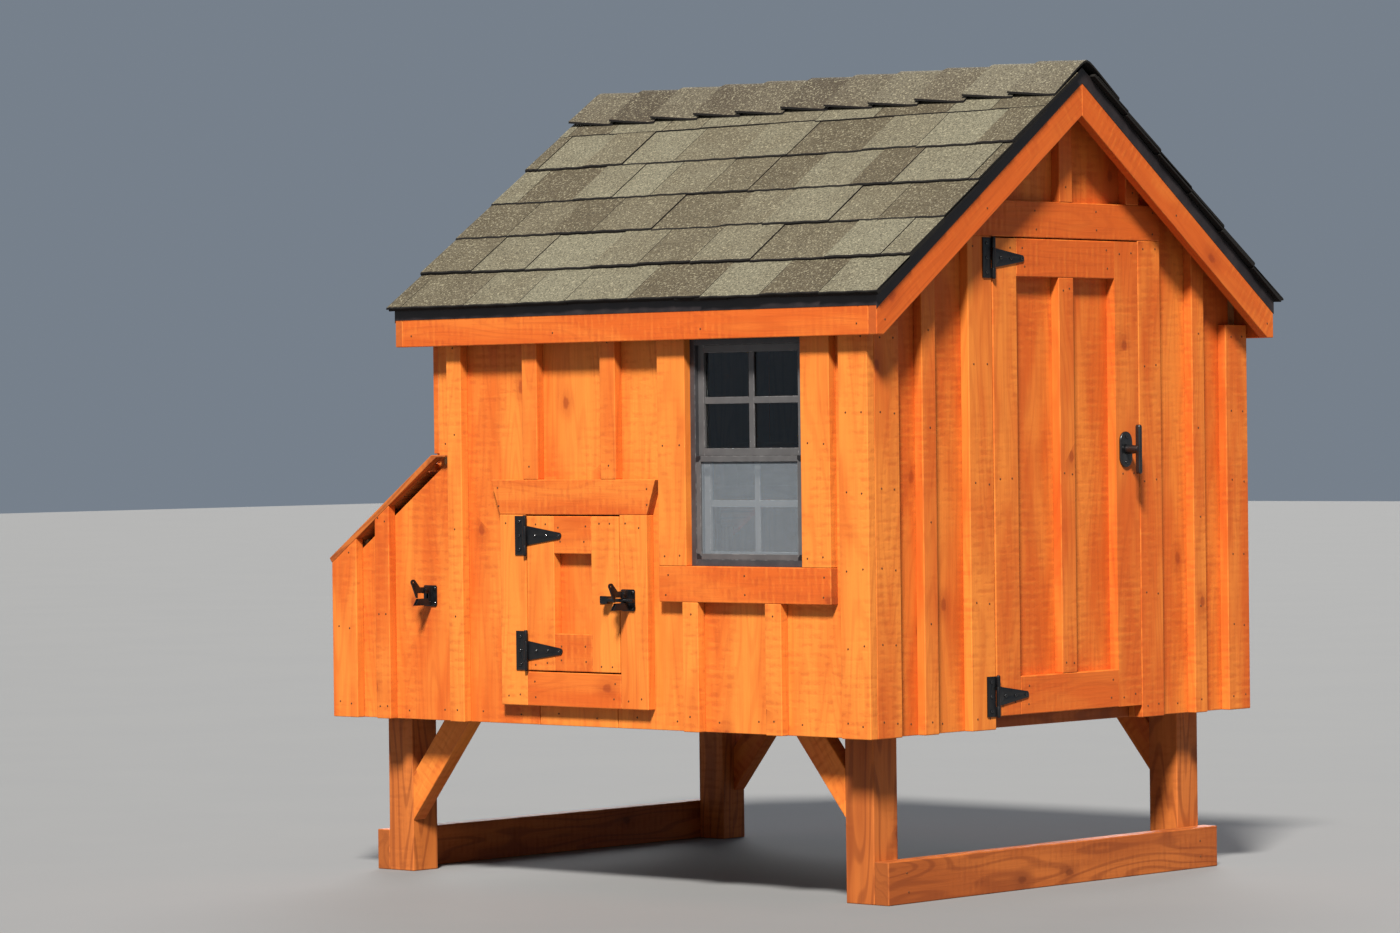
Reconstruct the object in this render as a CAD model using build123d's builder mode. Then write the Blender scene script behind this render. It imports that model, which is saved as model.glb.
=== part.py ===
"""Raised chicken coop: gable roof, board-and-batten walls, nest box, window, service door and pop door."""
import os
from math import asin, atan, cos, degrees, radians, sin, tan

from build123d import *

os.makedirs("parts", exist_ok=True)

# Driving sizes, in millimetres and degrees

# House frame, floor and legs
house_length = 1211.0  # wall frame, along the ridge
house_width = 1219.0  # wall frame, across the ridge
nest_depth = 284.0  # floor frame beyond the house, under the nest box
wall_height = 847.0  # side walls, from the underside of the floor frame
ground_clearance = 345.0
joist_height = 89.0
deck_thickness = 15.0
stud = 38.0  # square studs, bottom plates and joist thickness
top_plate = 25.0
leg_size = 76.0
leg_inset = 57.0  # from the side of the floor frame to the leg
runner_height = 89.0
runner_overrun = 18.0  # behind the rear legs
brace_width = 64.0
brace_angle = 51.0
brace_drop_door = 170.0  # foot of the brace below the floor frame, door end
brace_drop_nest = 232.0  # the same at the nest end

# Boards
siding = 16.0  # thickness of the wall boards
trim = 22.0  # thickness of battens, corner boards and trims
trim_width = 78.0
batten_width = 44.0
batten_pitch = 230.0
gable_shift = 8.0  # middle gable batten, from the ridge line
first_batten = 261.0  # house corner to the middle of the first batten of a side wall
board_joint = 2.0  # open joint between wall boards, under a batten
door_gap = 3.0  # between a door and its trim
door_stop = 8.0  # how far the studs lap behind a door
panel_inset = 6.0  # back boards of a door, in from its edges

# Roof
roof_pitch = degrees(atan(8.5 / 12))
rafter_depth = 89.0
heel_height = 88.0  # top of the wall to the top of the rafter, at the wall face
ridge_thickness = 19.0
ridge_height = 120.0
roof_deck = 12.0
eave_overhang = 67.0  # wall frame to the outer face of the fascia
rake_overhang_door = 90.0  # wall frame to the outer face of the rake board
rake_overhang_nest = 80.0
fascia_height = 70.0
rake_width = 82.0
drip_flange = 26.0
drip_leg = 60.0
sheet = 1.0  # drip edge metal and underlayment
shingle = 4.0
shingle_exposure = 137.0
shingle_eave = 20.0  # beyond the fascia
shingle_side = 14.0  # beyond the rake board
course_count = 6
cap_exposure = 125.0
cap_reach = 140.0  # down each slope

# Service door in the gable, seen from outside
service_width = 494.0
service_height = 995.0
service_bottom = 27.0  # above the underside of the floor frame
service_shift = 5.0  # from the middle of the gable
service_header = 76.0
rail_width = 80.0
door_batten = 50.0
handle_inset = 49.0  # from the free edge
handle_height = 577.0
handle_reach = 38.0
handle_length = 106.0
handle_bar = 11.0
handle_hub = 21.0  # neck of the casting, at the rose
hub_taper = 4.0
hub_gap = 0.5  # neck in front of the rose
spindle = 10.0
spindle_room = 1.0  # round the spindle in the door
rose_width = 41.0
rose_height = 77.0
rose_thickness = 5.0
cam_length = 64.0
cam_width = 14.0
cam_thickness = 4.0
cam_gap = 1.0  # behind the stud

# Pop door in the front wall
pop_width = 270.0
pop_height = 331.0
pop_bottom = 118.0
pop_sill = 73.0
pop_header = 75.0
pop_splay = 26.0  # each end of the header, beyond the side trims

# Window in the front wall
window_from_corner = 180.0  # corner edge to the window
window_width = 320.0
window_height = 474.0
window_bottom = 346.0
window_sill = 75.0
window_frame = 14.0
window_depth = 46.0
window_setback = 18.0  # behind the trim face
sash_bar = 16.0
sash_depth = 14.0
glazing_bar = 14.0
glazing_bar_depth = 4.0
glass = 3.0
screen_bar = 12.0
screen_depth = 8.0
screen_cloth = 1.0
sash_gap = 1.0
window_to_header = 8.0  # window trim to the end of the pop-door header

# T-hinges
hinge_plate_height = 84.0
hinge_plate_width = 32.0
hinge_strap_length = 98.0
hinge_strap_root = 41.0
hinge_strap_tip = 7.0  # radius
hinge_leaf = 2.5
hinge_pin = 2.5  # radius
hinge_barrel = 4.5  # radius
hinge_axis_out = 5.0  # pin axis in front of the trim face
hinge_inset = 42.0  # hinge middle from the end of the door
pin_play = 0.05
pin_head = 3.5
pin_head_height = 2.0
knuckle_gap = 0.5
screw_head = 3.8  # radius
screw_head_height = 2.0
screw_head_taper = 30.0
screw_shank = 1.8  # radius
screw_length = 15.0

# Gravity latches
latch_width = 40.0
latch_height = 46.0
latch_plate = 2.5
latch_cheek = 2.0
latch_dog = 4.0
latch_play = 0.5
latch_pin = 2.0  # radius
latch_reach = 27.0  # free edge of the pop door to the latch
hold_reach = 46.0  # the same for the hold-open latch, with the door swung back
strike_radius = 4.0
strike_out = 16.0  # bar axis in front of the door face
strike_plate = 37.0
strike_post = 16.0  # raised end that carries the bar
strike_drop = 11.0  # bar below the middle of the pop door
slot_play = 1.5
jaw_point = 10.0  # foot of the jaw beyond its lip
dog_lip = 1.0  # play between the dog and the jaw
dog_tooth = 3.0  # thickness at the tip
dog_rise = 8.0  # pivot above the slot
dog_root = 6.0  # pivot in front of the back of the slot
dog_eye = 6.5  # radius
eye_out = 12.0  # eye beyond the tooth
eye_rise = 17.0  # eye above the pivot
padlock_hole = 2.6  # radius
strike_edge = 54.0  # start of the plate from the free edge
strike_tip = 12.0  # bar beyond the hold-open latch

# Nest box
nest_front_height = 342.5  # outer face under the lid
lid_pitch = 35.0
lid_thickness = 13.0
lid_lip = 8.0  # lid beyond the trim of the box
lid_gap = 3.0
ear_gap = 8.0  # side cleats short of the first batten of the house
ear_flat = 42.0  # level top at the end of a side cleat
ear_tip = 5.0
lid_slot = 21.0  # open slot between side boards and lid
lid_board = 92.0
ledger_height = 64.0
ledger_inset = 30.0  # ledger short of the corners of the house
ledger_cover = 11.0  # ledger down behind the back edge of the lid
ledger_play = 2.0  # foot of the ledger short of the side cleats
nest_opening = 465.0  # top of the way into the nests
nest_count = 4
divider = 12.0
divider_play = 3.0
nest_lip = 80.0
lid_hinge_spread = 800.0
lid_hinge_width = 64.0
lid_hinge_leaf = 36.0

# Roosts
roost_height = 560.0
roost_spacing = 150.0
roost_from_rear = 100.0
roost_cleat = 64.0


# Planes and lines that follow from the sizes

pitch = radians(roof_pitch)
slope = tan(pitch)
base_z = ground_clearance
deck_z = base_z + joist_height
floor_z = deck_z + deck_thickness
wall_top = base_z + wall_height
plate_z = wall_top - top_plate

face = siding + trim  # wall frame to trim face
reach_door = rake_overhang_door + shingle_side
reach_nest = face + lid_lip
floor_length = house_length + nest_depth
door_x = (floor_length + reach_nest - reach_door) / 2  # frame face, door gable
house_x = door_x - house_length  # frame face, nest wall
nest_x = door_x - floor_length  # frame face, outer side of the nest box
corner_x = door_x + face
half = house_width / 2
trim_y = half + face

eave_y = half + eave_overhang
fascia_y = eave_y - trim
deck_under_apex = wall_top + heel_height + slope * half
deck_rise = roof_deck / cos(pitch)
sheet_rise = sheet / cos(pitch)
deck_x0 = house_x - rake_overhang_nest + trim
deck_x1 = door_x + rake_overhang_door - trim
rake_x0 = deck_x0 - trim
rake_x1 = deck_x1 + trim

lid_slope = tan(radians(lid_pitch))
lid_cos = cos(radians(lid_pitch))
lid_sin = sin(radians(lid_pitch))
ledger_x = house_x - face
lid_tip_x = nest_x - reach_nest


def deck_under(y):
    """Underside of the roof deck above a point across the ridge."""
    return deck_under_apex - slope * abs(y)


def deck_top(y):
    """Top of the roof deck."""
    return deck_under(y) + deck_rise


def rafter_under(y):
    """Underside of the rafters."""
    return deck_under(y) - rafter_depth / cos(pitch)


def lid_under(x):
    """Underside of the nest lid."""
    return base_z + nest_front_height + lid_slope * (x - (nest_x - face))


def lid_top(x):
    """Top of the nest lid."""
    return lid_under(x) + lid_thickness / lid_cos


def lid_place(z):
    """Where along X the underside of the lid has a height."""
    return nest_x - face + (z - base_z - nest_front_height) / lid_slope


def board(x0, x1, y0, y1, z0, z1):
    """A square-cut board between two opposite corners."""
    with BuildPart() as piece:
        with Locations(((x0 + x1) / 2, (y0 + y1) / 2, (z0 + z1) / 2)):
            Box(x1 - x0, y1 - y0, z1 - z0)
    return piece.part


def shaped(plane, points, depth):
    """A board of any outline, sawn from the plane outwards."""
    with BuildPart() as piece:
        with BuildSketch(plane):
            with BuildLine():
                Polyline(*points, close=True)
            make_face()
        extrude(amount=depth)
    return piece.part


def across(points, x0, x1):
    """An outline in Y and Z, from x0 to x1."""
    return shaped(Plane.YZ.offset(x0), points, x1 - x0)


def along(points, y0, y1):
    """An outline in X and Z, from y0 to y1."""
    return shaped(Plane.XZ.offset(-y1), points, y1 - y0)


def notched(piece, cuts):
    """A board with openings sawn out of it; each opening is six limits."""
    with BuildPart() as sawn:
        add(piece)
        for x0, x1, y0, y1, z0, z1 in cuts:
            with Locations(((x0 + x1) / 2, (y0 + y1) / 2, (z0 + z1) / 2)):
                Box(x1 - x0, y1 - y0, z1 - z0, mode=Mode.SUBTRACT)
    return list(sawn.part.solids())


def save(name, pieces):
    """Writes one node, a group of separate solids."""
    node = Compound(label=name, children=list(pieces))
    export_step(node, f"parts/{name}.step")


# Legs, runners and braces

leg_y = half - leg_inset  # outer side face of a leg
leg_door_x = door_x - stud
leg_nest_x = nest_x + stud
legs = []
for x0 in (leg_nest_x, leg_door_x - leg_size):
    for y0 in (-leg_y, leg_y - leg_size):
        legs.append(board(x0, x0 + leg_size, y0, y0 + leg_size, 0, deck_z))
save("legs", legs)

runners = []
for x0 in (leg_nest_x - stud, leg_door_x):
    runners.append(board(x0, x0 + stud, -leg_y, leg_y + runner_overrun, 0, runner_height))
save("runners", runners)

brace_rise = brace_width / cos(radians(brace_angle))
brace_slope = tan(radians(brace_angle))
braces = []
for x0, way, drop in ((leg_door_x - leg_size, -1, brace_drop_door), (leg_nest_x + leg_size, 1, brace_drop_nest)):
    outline = [
        (x0, base_z - drop),
        (x0 + way * drop / brace_slope, base_z),
        (x0 + way * (drop - brace_rise) / brace_slope, base_z),
        (x0, base_z - drop + brace_rise),
    ]
    for y0 in (-leg_y, leg_y - stud):
        braces.append(along(outline, y0, y0 + stud))
save("leg_braces", braces)

# Floor frame and deck

inner_x0 = leg_nest_x + leg_size
inner_x1 = leg_door_x - leg_size
floor_frame = []
for y0 in (-half, half - stud):
    floor_frame.append(board(nest_x, door_x, y0, y0 + stud, base_z, deck_z))
for x0 in (nest_x, door_x - stud):
    floor_frame.append(board(x0, x0 + stud, stud - half, half - stud, base_z, deck_z))
for y0 in (-leg_y, leg_y - stud):
    floor_frame.append(board(inner_x0, inner_x1, y0, y0 + stud, base_z, deck_z))
for share in (1 / 3, 2 / 3):
    joist_x = inner_x0 + share * (inner_x1 - inner_x0) - stud / 2
    floor_frame.append(board(joist_x, joist_x + stud, stud - leg_y, leg_y - stud, base_z, deck_z))
save("floor_frame", floor_frame)
save("floor_deck", [board(nest_x, door_x, -half, half, deck_z, floor_z)])

# Openings in the walls

window_x1 = corner_x - window_from_corner
window_x0 = window_x1 - window_width
window_z0 = base_z + window_bottom
window_z1 = window_z0 + window_height
pop_x1 = window_x0 - trim_width - window_to_header - pop_splay - trim_width - door_gap
pop_x0 = pop_x1 - pop_width
pop_z0 = base_z + pop_bottom
pop_z1 = pop_z0 + pop_height
service_y0 = service_shift - service_width / 2
service_y1 = service_y0 + service_width
service_z0 = base_z + service_bottom
service_z1 = service_z0 + service_height
pop_axis_x = pop_x0 - door_gap / 2
service_axis_y = service_y0 - door_gap / 2

# Wall framing: plates, studs and headers


def side_frame(y0, studs, gap):
    """Plates and studs of a side wall; gap is the stretch of floor left clear for a door, or None."""
    y1 = y0 + stud
    pieces = [board(house_x, door_x, y0, y1, plate_z, wall_top)]
    if gap is None:
        pieces.append(board(house_x, door_x, y0, y1, floor_z, floor_z + stud))
    else:
        pieces.append(board(house_x, gap[0], y0, y1, floor_z, floor_z + stud))
        pieces.append(board(gap[1], door_x, y0, y1, floor_z, floor_z + stud))
    for x0 in studs:
        pieces.append(board(x0, x0 + stud, y0, y1, floor_z + stud, plate_z))
    return pieces


pop_clear = (pop_x0 + door_stop, pop_x1 - door_stop)
front_studs = [house_x, pop_clear[0] - stud, pop_clear[1], window_x0 - stud, window_x1, door_x - stud]
wall_frame = side_frame(-half, front_studs, pop_clear)
wall_frame.append(board(*pop_clear, -half, stud - half, pop_z1 - door_stop, pop_z1 - door_stop + stud))
wall_frame.append(board(window_x0, window_x1, -half, stud - half, window_z0 - stud, window_z0))

rear_step = (house_length - stud) / 3
rear_studs = [house_x + count * rear_step for count in range(4)]
wall_frame += side_frame(half - stud, rear_studs, None)


def gable_stud(x0, y0, z0):
    """A stud whose top is sawn to the slope of the rafters."""
    y1 = y0 + stud
    top = [(y1, rafter_under(y1)), (y0, rafter_under(y0))]
    if y0 < 0 < y1:
        top.insert(1, (0, rafter_under(0)))
    return across([(y0, z0), (y1, z0)] + top, x0, x0 + stud)


door_clear = (service_y0 + door_stop, service_y1 - door_stop)
door_frame_x = door_x - stud
door_head = service_z1 - door_stop
wall_frame += [
    gable_stud(door_frame_x, door_clear[0] - stud, floor_z),
    gable_stud(door_frame_x, door_clear[1], floor_z),
    board(door_frame_x, door_x, *door_clear, door_head, door_head + stud),
]
nest_head = base_z + nest_opening
nest_frame_y = half - stud
wall_frame += [
    board(house_x, house_x + stud, -nest_frame_y, nest_frame_y, nest_head, nest_head + stud),
    gable_stud(house_x, -nest_frame_y / 3 - stud / 2, nest_head + stud),
    gable_stud(house_x, nest_frame_y / 3 - stud / 2, nest_head + stud),
]
save("wall_frame", wall_frame)

# Siding boards, with the joints under the battens

front_battens_x = []
batten_x = corner_x - first_batten
while batten_x > nest_x + batten_pitch / 4:
    front_battens_x.append(batten_x)
    batten_x -= batten_pitch
house_battens_x = [x for x in front_battens_x if x > house_x]
nest_battens_x = [x for x in front_battens_x if x <= house_x]
last_x = house_battens_x[-1]
ear_x = last_x - batten_width / 2 - ear_gap  # end of the side cleats of the nest lid
ear_z = lid_top(ear_x - ear_flat)


def spans(start, end, joints):
    """Boards between two ends, with an open joint at each batten."""
    edges = sorted([start, end] + [j for j in joints if start < j < end])
    pairs = []
    for low, high in zip(edges, edges[1:]):
        pairs.append((low + (board_joint / 2 if low > start else 0), high - (board_joint / 2 if high < end else 0)))
    return pairs


front_y0 = -half - siding
front_cuts = [
    (pop_x0 - door_gap, pop_x1 + door_gap, front_y0, -half, pop_z0 - door_gap, pop_z1 + door_gap),
    (window_x0, window_x1, front_y0, -half, window_z0, window_z1),
]
front_siding = []
for x0, x1 in spans(last_x + board_joint / 2, door_x + siding, house_battens_x):
    front_siding += notched(board(x0, x1, front_y0, -half, base_z, wall_top), front_cuts)
strip_z = ear_z - ear_tip / 2
strip_x = last_x - board_joint / 2
strip = [
    (house_x, strip_z),
    (lid_place(strip_z + lid_slot - board_joint), strip_z),
    (strip_x, lid_under(strip_x) - lid_slot + board_joint),
    (strip_x, wall_top),
    (house_x, wall_top),
]
front_siding.append(along(strip, front_y0, -half))
save("front_siding", front_siding)

rear_siding = []
for x0, x1 in spans(last_x + board_joint / 2, door_x + siding, house_battens_x):
    rear_siding.append(board(x0, x1, half, half + siding, base_z, wall_top))
rear_siding.append(along(strip, half, half + siding))
save("rear_siding", rear_siding)

gable_joints = [gable_shift + batten_pitch * count for count in (-2, -1, 0, 1, 2)]


def gable_board(y0, y1, z0, x0, x1, lift=0.0):
    """A gable board or batten with its top sawn to the roof."""
    top = [(y1, deck_under(y1) - lift), (y0, deck_under(y0) - lift)]
    if y0 < 0 < y1:
        top.insert(1, (0, deck_under(0) - lift))
    return across([(y0, z0), (y1, z0)] + top, x0, x1)


door_siding = []
door_cut = (door_x, door_x + siding, service_y0 - door_gap, service_y1 + door_gap, base_z, service_z1 + door_gap)
for y0, y1 in spans(-half, half, gable_joints):
    door_siding += notched(gable_board(y0, y1, base_z, door_x, door_x + siding), [door_cut])
save("door_wall_siding", door_siding)

nest_siding = []
under_lid = lid_top(house_x)
nest_cuts = [
    (house_x - siding, house_x, -half - siding, -half, nest_head, under_lid),
    (house_x - siding, house_x, half, half + siding, nest_head, under_lid),
]
for y0, y1 in spans(-half - siding, half + siding, gable_joints):
    nest_siding += notched(gable_board(y0, y1, nest_head, house_x - siding, house_x), nest_cuts)
save("nest_wall_siding", nest_siding)

# Battens, cut where a trim crosses them

pop_trim_x0 = pop_x0 - door_gap - trim_width
pop_trim_x1 = pop_x1 + door_gap + trim_width
pop_trim_z0 = pop_z0 - door_gap - pop_sill
pop_header_z0 = pop_z1 + door_gap
pop_header_z1 = pop_header_z0 + pop_header
sill_z0 = window_z0 - window_sill
window_trim_x0 = window_x0 - trim_width
window_trim_x1 = window_x1 + trim_width
front_trims = [
    (pop_trim_x0 - pop_splay, pop_trim_x1 + pop_splay, base_z, pop_header_z1),
    (window_trim_x0, window_trim_x1, sill_z0, wall_top),
]


def batten_spans(middle, low, high, trims):
    """Free heights of a batten between the trims that stand on its line."""
    levels = [(low, high)]
    for x0, x1, z0, z1 in trims:
        if middle - batten_width / 2 < x1 and middle + batten_width / 2 > x0:
            free = []
            for start, end in levels:
                free += [(start, min(end, z0)), (max(start, z1), end)]
            levels = [(start, end) for start, end in free if end - start > batten_width / 2]
    return levels


front_trim_y = -trim_y
battens = []
for x in house_battens_x:
    x0 = x - batten_width / 2
    for z0, z1 in batten_spans(x, base_z, wall_top, front_trims):
        battens.append(board(x0, x0 + batten_width, front_trim_y, front_y0, z0, z1))
    battens.append(board(x0, x0 + batten_width, half + siding, trim_y, base_z, wall_top))

jamb_y0 = service_y0 - door_gap - trim_width
jamb_y1 = service_y1 + door_gap + trim_width
header_z0 = service_z1 + door_gap
header_z1 = header_z0 + service_header
for y in gable_joints:
    y0 = y - batten_width / 2
    low = base_z
    if y0 < jamb_y1 and y0 + batten_width > jamb_y0:
        low = header_z1
    if low < deck_under(max(abs(y0), abs(y0 + batten_width))):
        battens.append(gable_board(y0, y0 + batten_width, low, door_x + siding, corner_x))

ledger_z0 = lid_top(ledger_x) + hinge_axis_out
ledger_z1 = ledger_z0 + ledger_height
for y in gable_joints:
    y0 = y - batten_width / 2
    battens.append(gable_board(y0, y0 + batten_width, ledger_z1, ledger_x, house_x - siding))
save("battens", battens)

corner_x0 = corner_x - trim_width
save("corner_boards", [
    board(corner_x0, corner_x, -trim_y, front_y0, base_z, wall_top),
    board(door_x + siding, corner_x, front_y0, front_y0 + trim_width, base_z, wall_top),
    board(door_x + siding, corner_x, trim_y - trim_width, trim_y, base_z, wall_top),
    board(corner_x0 - trim, door_x + siding, half + siding, trim_y, base_z, wall_top),
])

# Rafters, ridge board and roof deck

ridge_y = ridge_thickness / 2
heel_y = (rafter_under(0) - wall_top) / slope
rafters = []
for x0 in (house_x, (house_x + door_x - stud) / 2, door_x - stud):
    for side in (-1, 1):
        outline = [
            (side * ridge_y, deck_under(ridge_y)),
            (side * fascia_y, deck_under(fascia_y)),
            (side * fascia_y, wall_top),
            (side * heel_y, wall_top),
            (side * ridge_y, rafter_under(ridge_y)),
        ]
        rafters.append(across(outline, x0, x0 + stud))
ridge_top = deck_under(ridge_y)
rafters.append(board(house_x, door_x, -ridge_y, ridge_y, ridge_top - ridge_height, ridge_top))
save("rafters", rafters)

roof_boards = []
fascias = []
rakes = []
for side in (-1, 1):
    outline = [
        (0, deck_under(0)),
        (0, deck_top(0)),
        (side * eave_y, deck_top(eave_y)),
        (side * eave_y, deck_under(eave_y)),
    ]
    roof_boards.append(across(outline, deck_x0, deck_x1))
    fascia_z0 = deck_under(eave_y) - fascia_height
    outline = [
        (side * fascia_y, fascia_z0),
        (side * fascia_y, deck_under(fascia_y)),
        (side * eave_y, deck_under(eave_y)),
        (side * eave_y, fascia_z0),
    ]
    fascias.append(across(outline, deck_x0, deck_x1))
    rake_apex = deck_top(0) - rake_width / cos(pitch)
    outline = [
        (0, rake_apex),
        (0, deck_top(0)),
        (side * eave_y, deck_top(eave_y)),
        (side * eave_y, fascia_z0),
        (side * (rake_apex - fascia_z0) / slope, fascia_z0),
    ]
    rakes.append(across(outline, rake_x0, deck_x0))
    rakes.append(across(outline, deck_x1, rake_x1))
save("roof_deck", roof_boards)
save("fascia_boards", fascias)
save("rake_boards", rakes)

# Drip edges and underlayment

drip_run = drip_leg * cos(pitch)
drip_edges = []
underlayment = []
for side in (-1, 1):
    out_y = eave_y + sheet
    upper_y = eave_y - drip_run
    outline = [
        (side * eave_y, deck_top(eave_y)),
        (side * upper_y, deck_top(upper_y)),
        (side * upper_y, deck_top(upper_y) + sheet_rise),
        (side * out_y, deck_top(out_y) + sheet_rise),
        (side * out_y, deck_top(eave_y) - drip_flange),
        (side * eave_y, deck_top(eave_y) - drip_flange),
    ]
    drip_edges.append(across(outline, rake_x0, rake_x1))
    flange_drop = drip_flange / cos(pitch)
    flange = [
        (0, deck_top(0) - flange_drop),
        (0, deck_top(0) + sheet_rise),
        (side * out_y, deck_top(out_y) + sheet_rise),
        (side * out_y, deck_top(out_y) - flange_drop),
    ]
    leg_outline = [
        (0, deck_top(0)),
        (0, deck_top(0) + sheet_rise),
        (side * upper_y, deck_top(upper_y) + sheet_rise),
        (side * upper_y, deck_top(upper_y)),
    ]
    for outer, inner in ((rake_x0, rake_x0 + drip_leg), (rake_x1, rake_x1 - drip_leg)):
        way = 1 if inner > outer else -1
        with BuildPart() as rake_drip:
            add(across(flange, min(outer, outer - way * sheet), max(outer, outer - way * sheet)))
            add(across(leg_outline, min(outer, inner), max(outer, inner)))
        drip_edges.append(rake_drip.part)
    underlayment.append(across(leg_outline, rake_x0 + drip_leg, rake_x1 - drip_leg))
save("drip_edges", drip_edges)
save("underlayment", underlayment)

# Shingle courses: each plate rests on the one below and its upper end on the deck

tilt = asin(shingle / shingle_exposure)
plate_angle = pitch - tilt
shingle_x0 = rake_x0 - shingle_side
shingle_x1 = rake_x1 + shingle_side
shingle_y = eave_y + shingle_eave


def on_slope(run, rise):
    """A point at a distance up the slope from the eave and above the underlayment."""
    y = shingle_y - run * cos(pitch) + rise * sin(pitch)
    z = deck_top(shingle_y) + sheet_rise + run * sin(pitch) + rise * cos(pitch)
    return y, z


plate_length = 2 * shingle_exposure
for side, name in ((-1, "front"), (1, "rear")):
    starter = [
        on_slope(0, 0),
        on_slope(0, 2 * shingle),
        on_slope(shingle_exposure, 2 * shingle - shingle_exposure * tan(tilt)),
        on_slope(shingle_exposure, 0),
    ]
    courses = [across([(side * y, z) for y, z in starter], shingle_x0, shingle_x1)]
    for count in range(course_count):
        y0, z0 = on_slope(count * shingle_exposure, 2 * shingle)
        y3 = y0 + shingle * sin(plate_angle)
        z3 = z0 + shingle * cos(plate_angle)
        run = min(plate_length * cos(plate_angle), y0)
        y1 = y0 - run
        z1 = z0 + run * tan(plate_angle)
        run = min(plate_length * cos(plate_angle), y3)
        y2 = y3 - run
        z2 = z3 + run * tan(plate_angle)
        outline = [(y0, z0), (y1, z1), (y2, z2), (y3, z3)]
        courses.append(across([(side * y, z) for y, z in outline], shingle_x0, shingle_x1))
    save(f"shingles_{name}", courses)
ridge_z = z3 + y3 * tan(plate_angle)

# Ridge caps, lapped from the nest end to the door end

shingle_length = shingle_x1 - shingle_x0
cap_count = round(shingle_length / cap_exposure)
cap_step = shingle_length / cap_count
cap_rise = shingle / cos(plate_angle)
cap_tilt = atan(cap_rise / cap_step)
cap_y = cap_reach * cos(plate_angle)
cap_fall = cap_y * tan(plate_angle)
caps = []
for count in range(cap_count):
    cap_x0 = shingle_x0 + count * cap_step
    cap_x1 = min(cap_x0 + 2 * cap_step, shingle_x1)
    low = ridge_z + 2 * cap_rise
    high = low - (cap_x1 - cap_x0) * tan(cap_tilt)
    for side in (-1, 1):
        with BuildPart() as cap:
            with BuildSketch(Plane.YZ.offset(cap_x0)):
                with BuildLine():
                    Polyline(
                        (0, low),
                        (side * cap_y, low - cap_fall),
                        (side * cap_y, low - cap_fall + cap_rise),
                        (0, low + cap_rise),
                        close=True,
                    )
                make_face()
            with BuildSketch(Plane.YZ.offset(cap_x1)):
                with BuildLine():
                    Polyline(
                        (0, high),
                        (side * cap_y, high - cap_fall),
                        (side * cap_y, high - cap_fall + cap_rise),
                        (0, high + cap_rise),
                        close=True,
                    )
                make_face()
            loft(ruled=True)
        caps.append(cap.part)
save("ridge_caps", caps)

# Trims round the doors and the window

save("service_trim", [
    board(door_x + siding, corner_x, jamb_y0, jamb_y0 + trim_width, base_z, header_z0),
    board(door_x + siding, corner_x, jamb_y1 - trim_width, jamb_y1, base_z, header_z0),
    board(door_x + siding, corner_x, jamb_y0, jamb_y1, header_z0, header_z1),
])
header_outline = [
    (pop_trim_x0, pop_header_z0),
    (pop_trim_x1, pop_header_z0),
    (pop_trim_x1 + pop_splay, pop_header_z1),
    (pop_trim_x0 - pop_splay, pop_header_z1),
]
save("pop_trim", [
    along(header_outline, -trim_y, front_y0),
    board(pop_trim_x0, pop_trim_x0 + trim_width, -trim_y, front_y0, pop_trim_z0, pop_header_z0),
    board(pop_trim_x1 - trim_width, pop_trim_x1, -trim_y, front_y0, pop_trim_z0, pop_header_z0),
    board(pop_x0 - door_gap, pop_x1 + door_gap, -trim_y, front_y0, pop_trim_z0, pop_z0 - door_gap),
])
save("window_trim", [
    board(window_trim_x0, window_x0, -trim_y, front_y0, window_z0, wall_top),
    board(window_x1, window_trim_x1, -trim_y, front_y0, window_z0, wall_top),
    board(window_trim_x0, window_trim_x1, -trim_y, front_y0, sill_z0, window_z0),
])

# Window: frame, fixed upper sash, sliding lower sash and half screen


def bars(x0, x1, y0, y1, z0, z1, bar):
    """Four bars of a rectangular frame, uprights full height."""
    return [
        board(x0, x0 + bar, y0, y1, z0, z1),
        board(x1 - bar, x1, y0, y1, z0, z1),
        board(x0 + bar, x1 - bar, y0, y1, z0, z0 + bar),
        board(x0 + bar, x1 - bar, y0, y1, z1 - bar, z1),
    ]


def glazing(x0, x1, y0, z0, z1):
    """Upright and cross bars on the face of a pane."""
    y1 = y0 + glazing_bar_depth
    middle_x = (x0 + x1) / 2
    middle_z = (z0 + z1) / 2
    near_x = middle_x - glazing_bar / 2
    far_x = middle_x + glazing_bar / 2
    low = middle_z - glazing_bar / 2
    high = middle_z + glazing_bar / 2
    return [
        board(near_x, far_x, y0, y1, z0, z1),
        board(x0, near_x, y0, y1, low, high),
        board(far_x, x1, y0, y1, low, high),
    ]


frame_y = -trim_y + window_setback
save("window_frame", bars(window_x0, window_x1, frame_y, frame_y + window_depth, window_z0, window_z1, window_frame))
light_x0 = window_x0 + window_frame
light_x1 = window_x1 - window_frame
light_z0 = window_z0 + window_frame
light_z1 = window_z1 - window_frame
meeting_z = (light_z0 + light_z1) / 2
screen_y = frame_y + sash_gap
upper_y = screen_y + screen_depth + sash_gap
lower_y = upper_y + sash_depth + sash_gap
pane_step = sash_depth / 2

upper_z0 = meeting_z - sash_bar / 2
save("upper_sash", bars(light_x0, light_x1, upper_y, upper_y + sash_depth, upper_z0, light_z1, sash_bar) + glazing(
    light_x0 + sash_bar, light_x1 - sash_bar, upper_y + pane_step - glazing_bar_depth,
    upper_z0 + sash_bar, light_z1 - sash_bar))
save("upper_glass", [board(
    light_x0 + sash_bar, light_x1 - sash_bar, upper_y + pane_step, upper_y + pane_step + glass,
    upper_z0 + sash_bar, light_z1 - sash_bar)])

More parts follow.
